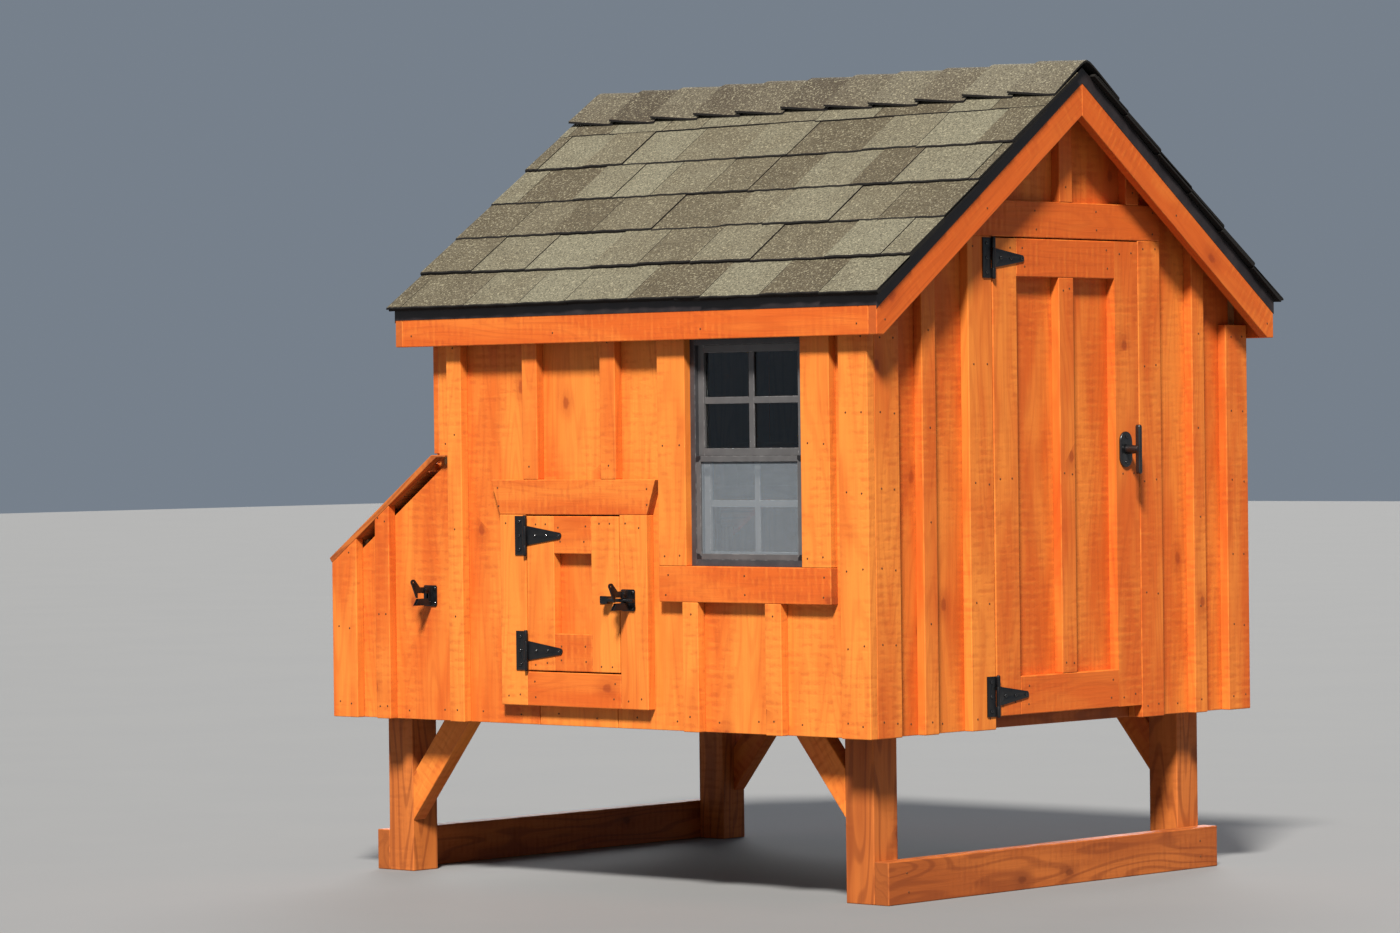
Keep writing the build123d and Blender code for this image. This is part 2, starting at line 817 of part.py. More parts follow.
lower_x0 = light_x0 + sash_gap
lower_x1 = light_x1 - sash_gap
lower_z1 = meeting_z + sash_bar / 2
save("lower_sash", bars(lower_x0, lower_x1, lower_y, lower_y + sash_depth, light_z0, lower_z1, sash_bar) + glazing(
    lower_x0 + sash_bar, lower_x1 - sash_bar, lower_y + pane_step - glazing_bar_depth,
    light_z0 + sash_bar, lower_z1 - sash_bar))
save("lower_glass", [board(
    lower_x0 + sash_bar, lower_x1 - sash_bar, lower_y + pane_step, lower_y + pane_step + glass,
    light_z0 + sash_bar, lower_z1 - sash_bar)])

save("screen_frame", bars(light_x0, light_x1, screen_y, screen_y + screen_depth, light_z0, upper_z0, screen_bar))
cloth_y = screen_y + (screen_depth - screen_cloth) / 2
save("screen_cloth", [board(
    light_x0 + screen_bar, light_x1 - screen_bar, cloth_y, cloth_y + screen_cloth,
    light_z0 + screen_bar, upper_z0 - screen_bar)])

# Service door: back boards behind stiles, rails and a centre batten

back_x = door_x
front_x = corner_x
frame_x = door_x + siding
stile_y0 = service_y0 + rail_width
stile_y1 = service_y1 - rail_width
handle_y = service_y1 - handle_inset
handle_z = base_z + handle_height


def bored(piece, plane, radius, depth):
    """A board with a round hole bored through it from a plane."""
    with BuildPart() as result:
        add(piece)
        with BuildSketch(plane):
            Circle(radius)
        extrude(amount=depth, mode=Mode.SUBTRACT)
    return result.part


spindle_plane = Plane(origin=(back_x, handle_y, handle_z), x_dir=(0, 1, 0), z_dir=(1, 0, 0))
spindle_hole = spindle / 2 + spindle_room
back_edges = [service_y0 + panel_inset, stile_y0 + (stile_y1 - stile_y0) / 2, service_y1 - panel_inset]
service_boards = []
for y0, y1 in zip(back_edges, back_edges[1:]):
    plank = board(back_x, frame_x, y0, y1, service_z0 + panel_inset, service_z1 - panel_inset)
    if y0 < handle_y < y1:
        plank = bored(plank, spindle_plane, spindle_hole, siding)
    service_boards.append(plank)
save("service_door_boards", service_boards)

batten_y = (service_y0 + service_y1) / 2
rail_low = service_z0 + rail_width
rail_high = service_z1 - rail_width
save("service_door_frame", [
    board(frame_x, front_x, service_y0, stile_y0, service_z0, service_z1),
    bored(board(frame_x, front_x, stile_y1, service_y1, service_z0, service_z1), spindle_plane, spindle_hole, face),
    board(frame_x, front_x, stile_y0, stile_y1, service_z0, rail_low),
    board(frame_x, front_x, stile_y0, stile_y1, rail_high, service_z1),
    board(frame_x, front_x, batten_y - door_batten / 2, batten_y + door_batten / 2, rail_low, rail_high),
])

# T-handle: oval rose on the stile, bar and spindle in one casting, cam on the inner end

rose_plane = Plane(origin=(front_x, handle_y, handle_z), x_dir=(0, 1, 0), z_dir=(1, 0, 0))
rose_screws = [(0, way * rose_height * 0.36) for way in (-1, 1)]
with BuildPart() as rose:
    with BuildSketch(rose_plane):
        SlotOverall(rose_height, rose_width, rotation=90)
        Circle(spindle / 2 + pin_play, mode=Mode.SUBTRACT)
        with Locations(*rose_screws):
            Circle(screw_shank + pin_play, mode=Mode.SUBTRACT)
    extrude(amount=rose_thickness)
    fillet(rose.faces().sort_by(Axis.X)[-1].outer_wire().edges(), rose_thickness / 2)
rose.part.label = "handle_rose"
export_step(rose.part, "parts/handle_rose.step")

cam_x = door_x - stud - cam_gap - cam_thickness
cam_plane = Plane(origin=(cam_x, handle_y, handle_z), x_dir=(0, 1, 0), z_dir=(1, 0, 0))
with BuildPart() as handle:
    with BuildSketch(cam_plane.offset(cam_thickness)):
        Circle(spindle / 2)
    extrude(amount=front_x + handle_reach - cam_x - cam_thickness)
    with BuildSketch(rose_plane.offset(rose_thickness + hub_gap)):
        Circle(handle_hub / 2)
    extrude(amount=handle_reach - rose_thickness - hub_gap, taper=hub_taper)
    with BuildSketch(rose_plane.offset(handle_reach - handle_bar / 2)):
        SlotOverall(handle_length, handle_bar, rotation=90)
    extrude(amount=handle_bar)
    fillet(handle.faces().sort_by(Axis.X)[-1].edges(), handle_bar / 3)
handle.part.label = "door_handle"
export_step(handle.part, "parts/door_handle.step")

with BuildPart() as cam:
    with BuildSketch(cam_plane):
        with Locations((0, cam_width / 2 - cam_length / 2)):
            SlotOverall(cam_length, cam_width, rotation=90)
    extrude(amount=cam_thickness)
cam.part.label = "handle_cam"
export_step(cam.part, "parts/handle_cam.step")

# Pop door: one back board behind stiles and rails

pop_stile_x0 = pop_x0 + rail_width
pop_stile_x1 = pop_x1 - rail_width
save("pop_door_board", [board(
    pop_x0 + panel_inset, pop_x1 - panel_inset, front_y0, -half, pop_z0 + panel_inset, pop_z1 - panel_inset)])
save("pop_door_frame", [
    board(pop_x0, pop_stile_x0, -trim_y, front_y0, pop_z0, pop_z1),
    board(pop_stile_x1, pop_x1, -trim_y, front_y0, pop_z0, pop_z1),
    board(pop_stile_x0, pop_stile_x1, -trim_y, front_y0, pop_z0, pop_z0 + rail_width),
    board(pop_stile_x0, pop_stile_x1, -trim_y, front_y0, pop_z1 - rail_width, pop_z1),
])

# T-hinges: a plate on the trim, a tapered strap on the door and a headed pin

hinge_half = hinge_plate_height / 2
root_half = hinge_strap_root / 2
plate_edge = hinge_barrel + knuckle_gap
plate_screws = [(-hinge_plate_width * 0.6, hinge_half * level) for level in (-0.72, 0, 0.72)]
strap_screws = [(hinge_strap_length * share, 0) for share in (0.28, 0.62, 0.98)]


def upright(plane, low, out):
    """A plane across the pin axis of a hinge, at a height on it."""
    return Plane(origin=plane.from_local_coords((0, low, out)), x_dir=plane.x_dir, z_dir=plane.y_dir)


def knuckle(plane, low, high):
    """A rolled barrel round the pin axis."""
    with BuildPart() as barrel:
        with BuildSketch(upright(plane, low, hinge_axis_out)):
            Circle(hinge_barrel)
        extrude(amount=high - low)
    return barrel.part


def pin_bore(plane, low, high):
    """The bore for the pin."""
    with BuildPart() as bore:
        with BuildSketch(upright(plane, low, hinge_axis_out)):
            Circle(hinge_pin + pin_play)
        extrude(amount=high - low)
    return bore.part


def screw_holes(plane, places, depth):
    """Clearance holes for screws."""
    with BuildPart() as holes:
        with BuildSketch(plane):
            with Locations(*places):
                Circle(screw_shank + pin_play)
        extrude(amount=depth)
    return holes.part


def hinge_plate(plane):
    """The leaf that stays on the wall, with a knuckle at each end."""
    with BuildPart() as leaf:
        with BuildSketch(plane):
            with Locations((-plate_edge / 2 - hinge_plate_width / 2, 0)):
                Rectangle(hinge_plate_width - plate_edge, hinge_plate_height)
            for way in (-1, 1):
                middle = way * (hinge_half + root_half + knuckle_gap) / 2
                with Locations((-plate_edge / 2, middle)):
                    Rectangle(plate_edge, hinge_half - root_half - knuckle_gap)
        extrude(amount=hinge_leaf)
        add(knuckle(plane, -hinge_half, -root_half - knuckle_gap))
        add(knuckle(plane, root_half + knuckle_gap, hinge_half))
        add(pin_bore(plane, -hinge_half, hinge_half), mode=Mode.SUBTRACT)
        add(screw_holes(plane, plate_screws, hinge_leaf), mode=Mode.SUBTRACT)
    return leaf.part


def hinge_strap(plane):
    """The tapered strap on the door, with the middle knuckle."""
    with BuildPart() as strap:
        with BuildSketch(plane):
            with BuildLine():
                Polyline(
                    (0, -root_half),
                    (plate_edge, -root_half),
                    (hinge_strap_length, -hinge_strap_tip),
                    (hinge_strap_length, hinge_strap_tip),
                    (plate_edge, root_half),
                    (0, root_half),
                    close=True,
                )
            make_face()
            with Locations((hinge_strap_length, 0)):
                Circle(hinge_strap_tip)
        extrude(amount=hinge_leaf)
        add(knuckle(plane, -root_half, root_half))
        add(pin_bore(plane, -root_half, root_half), mode=Mode.SUBTRACT)
        add(screw_holes(plane, strap_screws, hinge_leaf), mode=Mode.SUBTRACT)
    return strap.part


def headed_pin(plane, half_height):
    """A hinge pin with a head at each end."""
    with BuildPart() as pin:
        with BuildSketch(upright(plane, -half_height, hinge_axis_out)):
            Circle(hinge_pin)
        extrude(amount=2 * half_height)
        for low in (-half_height - pin_head_height, half_height):
            with BuildSketch(upright(plane, low, hinge_axis_out)):
                Circle(pin_head)
            extrude(amount=pin_head_height)
    return pin.part


def screws(plane, places, leaf):
    """Pan-head screws that stand on a leaf and are driven through it."""
    made = []
    for x, y in places:
        with BuildPart() as screw:
            with BuildSketch(plane.offset(leaf)):
                with Locations((x, y)):
                    Circle(screw_head)
            extrude(amount=screw_head_height, taper=screw_head_taper)
            with BuildSketch(plane.offset(leaf)):
                with Locations((x, y)):
                    Circle(screw_shank)
            extrude(amount=-screw_length)
        made.append(screw.part)
    return made


front_dirs = {"x_dir": (1, 0, 0), "z_dir": (0, -1, 0)}
gable_dirs = {"x_dir": (0, 1, 0), "z_dir": (1, 0, 0)}
service_planes = []
for z in (service_z0 + hinge_inset, service_z1 - hinge_inset):
    service_planes.append(Plane(origin=(corner_x, service_axis_y, z), **gable_dirs))
pop_planes = []
for z in (pop_z0 + hinge_inset, pop_z1 - hinge_inset):
    pop_planes.append(Plane(origin=(pop_axis_x, -trim_y, z), **front_dirs))

wall_leaves = [hinge_plate(plane) for plane in service_planes + pop_planes]
pins = [headed_pin(plane, hinge_half) for plane in service_planes + pop_planes]
save("service_hinge_straps", [hinge_strap(plane) for plane in service_planes])
save("pop_hinge_straps", [hinge_strap(plane) for plane in pop_planes])

# Gravity latches: a body with two cheeks, a dog between them, and the strike bar on the pop door

latch_z = (pop_z0 + pop_z1) / 2 - strike_drop
latch_planes = [
    Plane(origin=(pop_x1 + latch_reach, -trim_y, latch_z), **front_dirs),
    Plane(origin=(pop_axis_x - pop_width - hold_reach, front_y0, latch_z), **front_dirs),
]
slot = strike_radius + slot_play
slot_back = strike_out - slot
swing_back = radians(3.5)  # the pop door stops this far short of a half turn
hold_out = trim + hinge_axis_out + (pop_width + hold_reach) * sin(swing_back)
hold_out -= (strike_out - hinge_axis_out) * cos(swing_back)
jaw_end = hold_out + slot
dog_pivot = (slot_back + dog_root, slot + dog_rise)
dog_inner = jaw_end + dog_lip
latch_half = latch_height / 2
latch_screws = [(way * latch_width * 0.36, level * latch_half * 0.7) for way in (-1, 1) for level in (-1, 1)]


def sideways(plane, at):
    """A plane across the strike bar, with its X outwards and its Y up, facing back along the bar."""
    origin = plane.from_local_coords((at, 0, 0))
    return Plane(origin=origin, x_dir=plane.z_dir, z_dir=plane.x_dir * -1)


def latch_body(plane):
    """Base plate and two cheeks with a slot for the strike bar."""
    inner = latch_dog / 2 + latch_play
    with BuildPart() as body:
        with BuildSketch(plane):
            RectangleRounded(latch_width, latch_height, latch_plate * 2)
        extrude(amount=latch_plate)
        for at in (inner + latch_cheek, -inner):
            with BuildSketch(sideways(plane, at)):
                with BuildLine():
                    Polyline(
                        (0, -latch_half + latch_plate),
                        (jaw_end + jaw_point, -latch_half + latch_plate),
                        (jaw_end, -slot),
                        (slot_back, -slot),
                        (slot_back, slot),
                        (dog_pivot[0] + slot, slot),
                        (dog_pivot[0] + slot, dog_pivot[1]),
                        (dog_pivot[0], latch_half - latch_plate),
                        (0, latch_half - latch_plate),
                        close=True,
                    )
                make_face()
                with Locations(dog_pivot):
                    Circle(latch_pin + pin_play, mode=Mode.SUBTRACT)
            extrude(amount=latch_cheek)
        add(screw_holes(plane, latch_screws, latch_plate), mode=Mode.SUBTRACT)
    return body.part


def latch_dog_part(plane):
    """The dog that drops across the slot, with a raised eye for a thumb or a padlock."""
    pivot_x, pivot_y = dog_pivot
    eye_x, eye_y = dog_inner + eye_out, pivot_y + eye_rise
    shoulder = dog_eye * sin(radians(45))
    with BuildPart() as dog:
        with BuildSketch(sideways(plane, latch_dog / 2)):
            with BuildLine():
                Polyline(
                    (pivot_x - dog_root, slot + dog_lip),
                    (dog_inner, slot + dog_lip),
                    (dog_inner, -strike_radius),
                    (dog_inner + dog_tooth, -strike_radius),
                    (eye_x + dog_eye, eye_y),
                    (eye_x - shoulder, eye_y + shoulder),
                    (jaw_end - dog_root, pivot_y + dog_root),
                    (pivot_x - dog_root, pivot_y + dog_root),
                    close=True,
                )
            make_face()
            with Locations(dog_pivot):
                Circle(latch_pin + pin_play, mode=Mode.SUBTRACT)
            with Locations((eye_x, eye_y)):
                Circle(dog_eye)
                Circle(padlock_hole, mode=Mode.SUBTRACT)
        extrude(amount=latch_dog)
    return dog.part


def latch_pin_part(plane):
    """The pin that the dog turns on."""
    reach = latch_dog / 2 + latch_play + latch_cheek
    with BuildPart() as pin:
        with BuildSketch(sideways(plane, reach)):
            with Locations(dog_pivot):
                Circle(latch_pin)
        extrude(amount=2 * reach)
        for at in (reach + pin_head_height, -reach):
            with BuildSketch(sideways(plane, at)):
                with Locations(dog_pivot):
                    Circle(pin_head)
            extrude(amount=pin_head_height)
    return pin.part


save("latch_bodies", [latch_body(plane) for plane in latch_planes])
save("latch_pins", [latch_pin_part(plane) for plane in latch_planes])
save("pop_latch_dog", [latch_dog_part(latch_planes[0])])
save("hold_open_dog", [latch_dog_part(latch_planes[1])])

strike_x0 = pop_x1 - strike_edge
strike_plane = Plane(origin=(strike_x0 + strike_plate / 2, -trim_y, latch_z), **front_dirs)
strike_height = 4 * strike_radius
post_x = (strike_plate - strike_post) / 2  # middle of the post, from the middle of the plate
bar_tip = pop_axis_x + pop_width + hold_reach + strike_tip
strike_screws = [(strike_plate * share, 0) for share in (-0.36, -0.1)]
with BuildPart() as strike:
    with BuildSketch(strike_plane):
        RectangleRounded(strike_plate, strike_height, latch_plate)
    extrude(amount=hinge_leaf)
    with BuildSketch(strike_plane):
        with Locations((post_x, 0)):
            RectangleRounded(strike_post, strike_height, latch_plate)
    extrude(amount=strike_out + strike_radius)
    with BuildSketch(sideways(strike_plane, bar_tip - strike_plane.origin.X)):
        with Locations((strike_out, 0)):
            Circle(strike_radius)
    extrude(amount=bar_tip - strike_plane.origin.X - post_x)
    add(screw_holes(strike_plane, strike_screws, hinge_leaf), mode=Mode.SUBTRACT)
strike.part.label = "strike_bar"
export_step(strike.part, "parts/strike_bar.step")

# Nest box: framing, boards, corner boards and battens

post_x1 = nest_x + stud
rail_z0 = lid_under(nest_x) - 2 * stud
nest_frame = []
for y0 in (-half, half - stud):
    post = [(nest_x, floor_z), (post_x1, floor_z), (post_x1, lid_under(post_x1)), (nest_x, lid_under(nest_x))]
    nest_frame.append(along(post, y0, y0 + stud))
rail = [(nest_x, rail_z0), (post_x1, rail_z0), (post_x1, lid_under(post_x1)), (nest_x, lid_under(nest_x))]
nest_frame.append(along(rail, stud - half, half - stud))
save("nest_frame", nest_frame)

nest_out_x = nest_x - siding
nest_boards = []
outer_profile = [
    (nest_out_x, base_z), (nest_x, base_z), (nest_x, lid_under(nest_x)), (nest_out_x, lid_under(nest_out_x))]
for y0, y1 in spans(-half, half, gable_joints):
    nest_boards.append(along(outer_profile, y0, y1))
for y0 in (front_y0, half):
    for x0, x1 in spans(nest_out_x, last_x - board_joint / 2, nest_battens_x):
        side_board = [
            (x0, base_z),
            (x1, base_z),
            (x1, lid_under(x1) - lid_slot),
            (x0, lid_under(x0) - lid_slot),
        ]
        nest_boards.append(along(side_board, y0, y0 + siding))
save("nest_boards", nest_boards)

nest_trim_x = nest_out_x - trim
nest_trim = []


def nest_upright(x0, x1, y0, y1):
    """A corner board or batten of the nest box, with its top sawn to the lid."""
    outline = [(x0, base_z), (x1, base_z), (x1, lid_under(x1)), (x0, lid_under(x0))]
    return along(outline, y0, y1)


for y0 in (-trim_y, half + siding):
    nest_trim.append(nest_upright(nest_trim_x, nest_trim_x + trim_width, y0, y0 + trim))
    for x in nest_battens_x:
        if x - batten_width / 2 > nest_trim_x + trim_width:
            nest_trim.append(nest_upright(x - batten_width / 2, x + batten_width / 2, y0, y0 + trim))
nest_trim.append(nest_upright(nest_trim_x, nest_out_x, front_y0, front_y0 + trim_width))
nest_trim.append(nest_upright(nest_trim_x, nest_out_x, -front_y0 - trim_width, -front_y0))
for y in gable_joints:
    nest_trim.append(nest_upright(nest_trim_x, nest_out_x, y - batten_width / 2, y + batten_width / 2))
save("nest_trim", nest_trim)

nest_inner_x = house_x - siding
divider_outline = [
    (post_x1, floor_z),
    (nest_inner_x, floor_z),
    (nest_inner_x, lid_under(ledger_x) - divider_play),
    (ledger_x, lid_under(ledger_x) - divider_play),
    (post_x1, lid_under(post_x1) - divider_play),
]
nest_pitch = house_width / nest_count
dividers = []
for count in range(1, nest_count):
    y0 = -half + count * nest_pitch - divider / 2
    dividers.append(along(divider_outline, y0, y0 + divider))
dividers.append(board(nest_inner_x, nest_inner_x + trim, -nest_frame_y, nest_frame_y, floor_z, floor_z + nest_lip))
save("nest_dividers", dividers)

# Nest lid: boards between two side cleats, hinged to a ledger on the wall

ledger_y = -front_y0 - ledger_inset
ledger_foot_y = -front_y0 - ledger_play
ledger_foot_z = lid_top(ledger_x) - ledger_cover
save("lid_ledger", [across([
    (-ledger_foot_y, ledger_foot_z),
    (ledger_foot_y, ledger_foot_z),
    (ledger_foot_y, ledger_z0),
    (ledger_y, ledger_z0),
    (ledger_y, ledger_z1),
    (-ledger_y, ledger_z1),
    (-ledger_y, ledger_z0),
    (-ledger_foot_y, ledger_z0),
], ledger_x, house_x - siding)])


def on_lid(x, rise):
    """A point on the lid at a place along X, raised square to the lid from its underside."""
    return x - rise * lid_sin, lid_under(x) + rise * lid_cos


lid_back_x = ledger_x - lid_gap
lid_front_x = lid_tip_x + lid_thickness * lid_sin
lid_boards = []
lid_count = round((lid_back_x - lid_front_x) / lid_cos / lid_board)
lid_step = (lid_back_x - lid_front_x) / lid_count
for count in range(lid_count):
    x0 = lid_front_x + count * lid_step
    x1 = x0 + lid_step - (board_joint if count + 1 < lid_count else 0)
    outline = [on_lid(x0, 0), on_lid(x1, 0), on_lid(x1, lid_thickness), on_lid(x0, lid_thickness)]
    lid_boards.append(along(outline, front_y0, -front_y0))
cleat = [
    on_lid(lid_front_x, 0),
    (lid_place(ear_z - ear_tip), ear_z - ear_tip),
    (ear_x, ear_z - ear_tip),
    (ear_x, ear_z),
    (ear_x - ear_flat, ear_z),
    on_lid(lid_front_x, lid_thickness),
]
for y0 in (-trim_y, -front_y0):
    lid_boards.append(along(cleat, y0, y0 + trim))
save("nest_lid", lid_boards)

lid_axis_x = ledger_x - hinge_axis_out
lid_axis_z = lid_top(lid_axis_x) + hinge_axis_out / lid_cos
leaf_third = lid_hinge_width / 3
lid_leaves = []
wall_leaf_screws = []
lid_leaf_screws = []
leaf_screws = [(plate_edge + lid_hinge_leaf * 0.5, way * leaf_third) for way in (-1, 1)]
for y in (-lid_hinge_spread / 2, lid_hinge_spread / 2):
    wall_plane = Plane(origin=(ledger_x, y, lid_axis_z), x_dir=(0, 0, 1), z_dir=(-1, 0, 0))
    foot_x = lid_axis_x + hinge_axis_out * lid_sin
    foot_z = lid_axis_z - hinge_axis_out * lid_cos
    lid_plane = Plane(origin=(foot_x, y, foot_z), x_dir=(-lid_cos, 0, -lid_sin), z_dir=(-lid_sin, 0, lid_cos))
    with BuildPart() as wall_leaf:
        with BuildSketch(wall_plane):
            with Locations((plate_edge + lid_hinge_leaf / 2, 0)):
                Rectangle(lid_hinge_leaf, lid_hinge_width)
            for way in (-1, 1):
                with Locations((plate_edge / 2, way * (leaf_third + knuckle_gap / 2))):
                    Rectangle(plate_edge, leaf_third - knuckle_gap)
        extrude(amount=hinge_leaf)
        add(knuckle(wall_plane, -lid_hinge_width / 2, -leaf_third / 2 - knuckle_gap))
        add(knuckle(wall_plane, leaf_third / 2 + knuckle_gap, lid_hinge_width / 2))
        add(pin_bore(wall_plane, -lid_hinge_width / 2, lid_hinge_width / 2), mode=Mode.SUBTRACT)
        add(screw_holes(wall_plane, leaf_screws, hinge_leaf), mode=Mode.SUBTRACT)
    wall_leaves.append(wall_leaf.part)
    with BuildPart() as lid_leaf:
        with BuildSketch(lid_plane):
            with Locations((plate_edge + lid_hinge_leaf / 2, 0)):
                Rectangle(lid_hinge_leaf, lid_hinge_width)
            with Locations((plate_edge / 2, 0)):
                Rectangle(plate_edge, leaf_third)
        extrude(amount=hinge_leaf)
        add(knuckle(lid_plane, -leaf_third / 2, leaf_third / 2))
        add(pin_bore(lid_plane, -leaf_third / 2, leaf_third / 2), mode=Mode.SUBTRACT)
        add(screw_holes(lid_plane, leaf_screws, hinge_leaf), mode=Mode.SUBTRACT)
    lid_leaves.append(lid_leaf.part)
    pins.append(headed_pin(wall_plane, lid_hinge_width / 2))
    wall_leaf_screws += screws(wall_plane, leaf_screws, hinge_leaf)
    lid_leaf_screws += screws(lid_plane, leaf_screws, hinge_leaf)
save("hinge_plates", wall_leaves)
save("lid_hinge_leaves", lid_leaves)
save("pins", pins)

# Screws, one group for each thing they ride on

house_screws = list(wall_leaf_screws)
for plane in service_planes + pop_planes:
    house_screws += screws(plane, plate_screws, hinge_leaf)
save("house_screws", house_screws)
latch_body_screws = []
for plane in latch_planes:
    latch_body_screws += screws(plane, latch_screws, latch_plate)
save("latch_screws", latch_body_screws)
service_screws = screws(rose_plane, rose_screws, rose_thickness)
for plane in service_planes:
    service_screws += screws(plane, strap_screws, hinge_leaf)
save("service_door_screws", service_screws)
pop_screws = screws(strike_plane, strike_screws, hinge_leaf)
for plane in pop_planes:
    pop_screws += screws(plane, strap_screws, hinge_leaf)
save("pop_door_screws", pop_screws)
save("lid_screws", lid_leaf_screws)

# Roosts: two bars on cleats at the gable ends

roost_y1 = half - stud - roost_from_rear
roost_z = base_z + roost_height
roosts = []
for count in (0, 1):
    y0 = roost_y1 - stud - count * roost_spacing
    with BuildPart() as perch:
        with BuildSketch(Plane.YZ.offset(house_x + stud)):
            with Locations((y0 + stud / 2, roost_z + stud / 2)):
                RectangleRounded(stud, stud, stud / 5)
        extrude(amount=house_length - 2 * stud)
    roosts.append(perch.part)
cleat_y0 = roost_y1 - 1.5 * stud - roost_spacing
cleat_y1 = half - stud
for x0 in (house_x + stud, door_x - 2 * stud):
    roosts.append(board(x0, x0 + stud, cleat_y0, cleat_y1, roost_z - roost_cleat, roost_z))
save("roosts", roosts)
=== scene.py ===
import math
import random

import bmesh
import bpy
import numpy as np
from mathutils import Matrix, Vector
from mathutils.bvhtree import BVHTree


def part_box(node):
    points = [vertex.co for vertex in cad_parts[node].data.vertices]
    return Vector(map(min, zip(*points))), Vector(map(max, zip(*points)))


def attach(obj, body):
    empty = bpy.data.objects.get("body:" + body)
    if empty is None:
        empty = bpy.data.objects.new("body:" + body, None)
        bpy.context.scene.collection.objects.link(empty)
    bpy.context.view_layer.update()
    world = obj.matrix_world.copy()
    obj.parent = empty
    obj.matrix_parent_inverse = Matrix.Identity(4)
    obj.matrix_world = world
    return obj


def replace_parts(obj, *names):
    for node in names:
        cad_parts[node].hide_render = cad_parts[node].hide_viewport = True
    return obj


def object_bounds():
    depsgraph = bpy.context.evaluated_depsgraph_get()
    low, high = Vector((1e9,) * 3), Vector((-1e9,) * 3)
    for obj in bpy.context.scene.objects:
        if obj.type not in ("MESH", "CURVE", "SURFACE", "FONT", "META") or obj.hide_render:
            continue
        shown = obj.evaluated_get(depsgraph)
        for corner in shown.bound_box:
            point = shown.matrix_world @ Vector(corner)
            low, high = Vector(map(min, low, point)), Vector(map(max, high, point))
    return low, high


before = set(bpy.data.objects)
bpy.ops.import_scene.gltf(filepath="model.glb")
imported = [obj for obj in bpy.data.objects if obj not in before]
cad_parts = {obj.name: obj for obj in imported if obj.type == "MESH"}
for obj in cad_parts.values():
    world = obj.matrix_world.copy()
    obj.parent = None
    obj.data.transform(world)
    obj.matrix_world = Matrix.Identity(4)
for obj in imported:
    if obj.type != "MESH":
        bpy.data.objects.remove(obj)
cad_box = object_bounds()


# Runners, legs and knee braces.
# Four square legs of rough-sawn cedar stand in two pairs, each nailed to a runner on the ground and
# stiffened by braces; legs and runners are stained browner than the walls, partly painted shade from under
# the coop.
class Tone:
    """A number, colour or direction on its way through a finish; sums on it add Math nodes."""

    def __init__(self, tree, socket=None):
        self.tree = tree
        self.socket = socket

    def node(self, kind, settings=None, sockets=None, out=0):
        made = self.tree.nodes.new(kind)
        for key, value in (settings or {}).items():
            if key == "stops":
                stops = made.color_ramp.elements
                for place, (at, colour) in enumerate(value):
                    stop = stops[place] if place < len(stops) else stops.new(at)
                    stop.position = at
                    stop.color = colour
            else:
                setattr(made, key, value)
        for key, value in (sockets or {}).items():
            if isinstance(value, Tone):
                self.tree.links.new(value.socket, made.inputs[key])
            else:
                made.inputs[key].default_value = value
        return Tone(self.tree, made.outputs[out])

    def beside(self, out):
        return Tone(self.tree, self.socket.node.outputs[out])

    def feed(self, shader, name):
        self.tree.links.new(self.socket, shader.inputs[name])

    def sum(self, operation, first, second):
        return self.node("ShaderNodeMath", {"operation": operation}, {0: first, 1: second})

    def __add__(self, other):
        return self.sum("ADD", self, other)

    def __radd__(self, other):
        return self.sum("ADD", other, self)

    def __sub__(self, other):
        return self.sum("SUBTRACT", self, other)

    def __rsub__(self, other):
        return self.sum("SUBTRACT", other, self)

    def __mul__(self, other):
        return self.sum("MULTIPLY", self, other)

    def __rmul__(self, other):
        return self.sum("MULTIPLY", other, self)


def new_finish(name):
    """A material with an empty sheet to write its tones on, and its shader."""
    material = bpy.data.materials.new(name)
    material.use_nodes = True
    return material, Tone(material.node_tree), material.node_tree.nodes["Principled BSDF"]


def carried(sheet, name, out="Fac"):
    """What a mesh carries under a name, such as the run of its grain."""
    return sheet.node("ShaderNodeAttribute", {"attribute_name": name}, {}, out)


def ramped(tone, low, high):
    """The tone spread smoothly from 0 at low to 1 at high."""
    return tone.node("ShaderNodeMapRange", {"interpolation_type": "SMOOTHSTEP"}, {0: tone, 1: low, 2: high})


def waves(tone):
    """Even waves from -1 to 1 as the tone grows."""
    return tone.node("ShaderNodeMath", {"operation": "SINE"}, {0: tone})


def glazed(amount, under, over):
    """One colour brushed over another, as thickly as amount says."""
    return amount.node("ShaderNodeMix", {"data_type": "RGBA"}, {0: amount, 6: under, 7: over}, 2)


def stretched(sheet, where, stretch):
    """A place drawn out by different amounts along the three directions."""
    return sheet.node("ShaderNodeVectorMath", {"operation": "MULTIPLY"}, {0: where, 1: stretch})


def cloudy(sheet, where, stretch, detail, rough):
    """Soft random patches."""
    drawn = stretched(sheet, where, stretch)
    settings = {"Vector": drawn, "Scale": 1.0, "Detail": detail, "Roughness": rough}
    return sheet.node("ShaderNodeTexNoise", {}, settings)


def raised(shader, strength, depth, height):
    """Gives a surface the relief of a height pattern."""
    relief = {"Strength": strength, "Distance": depth, "Height": height}
    height.node("ShaderNodeBump", {}, relief).feed(shader, "Normal")


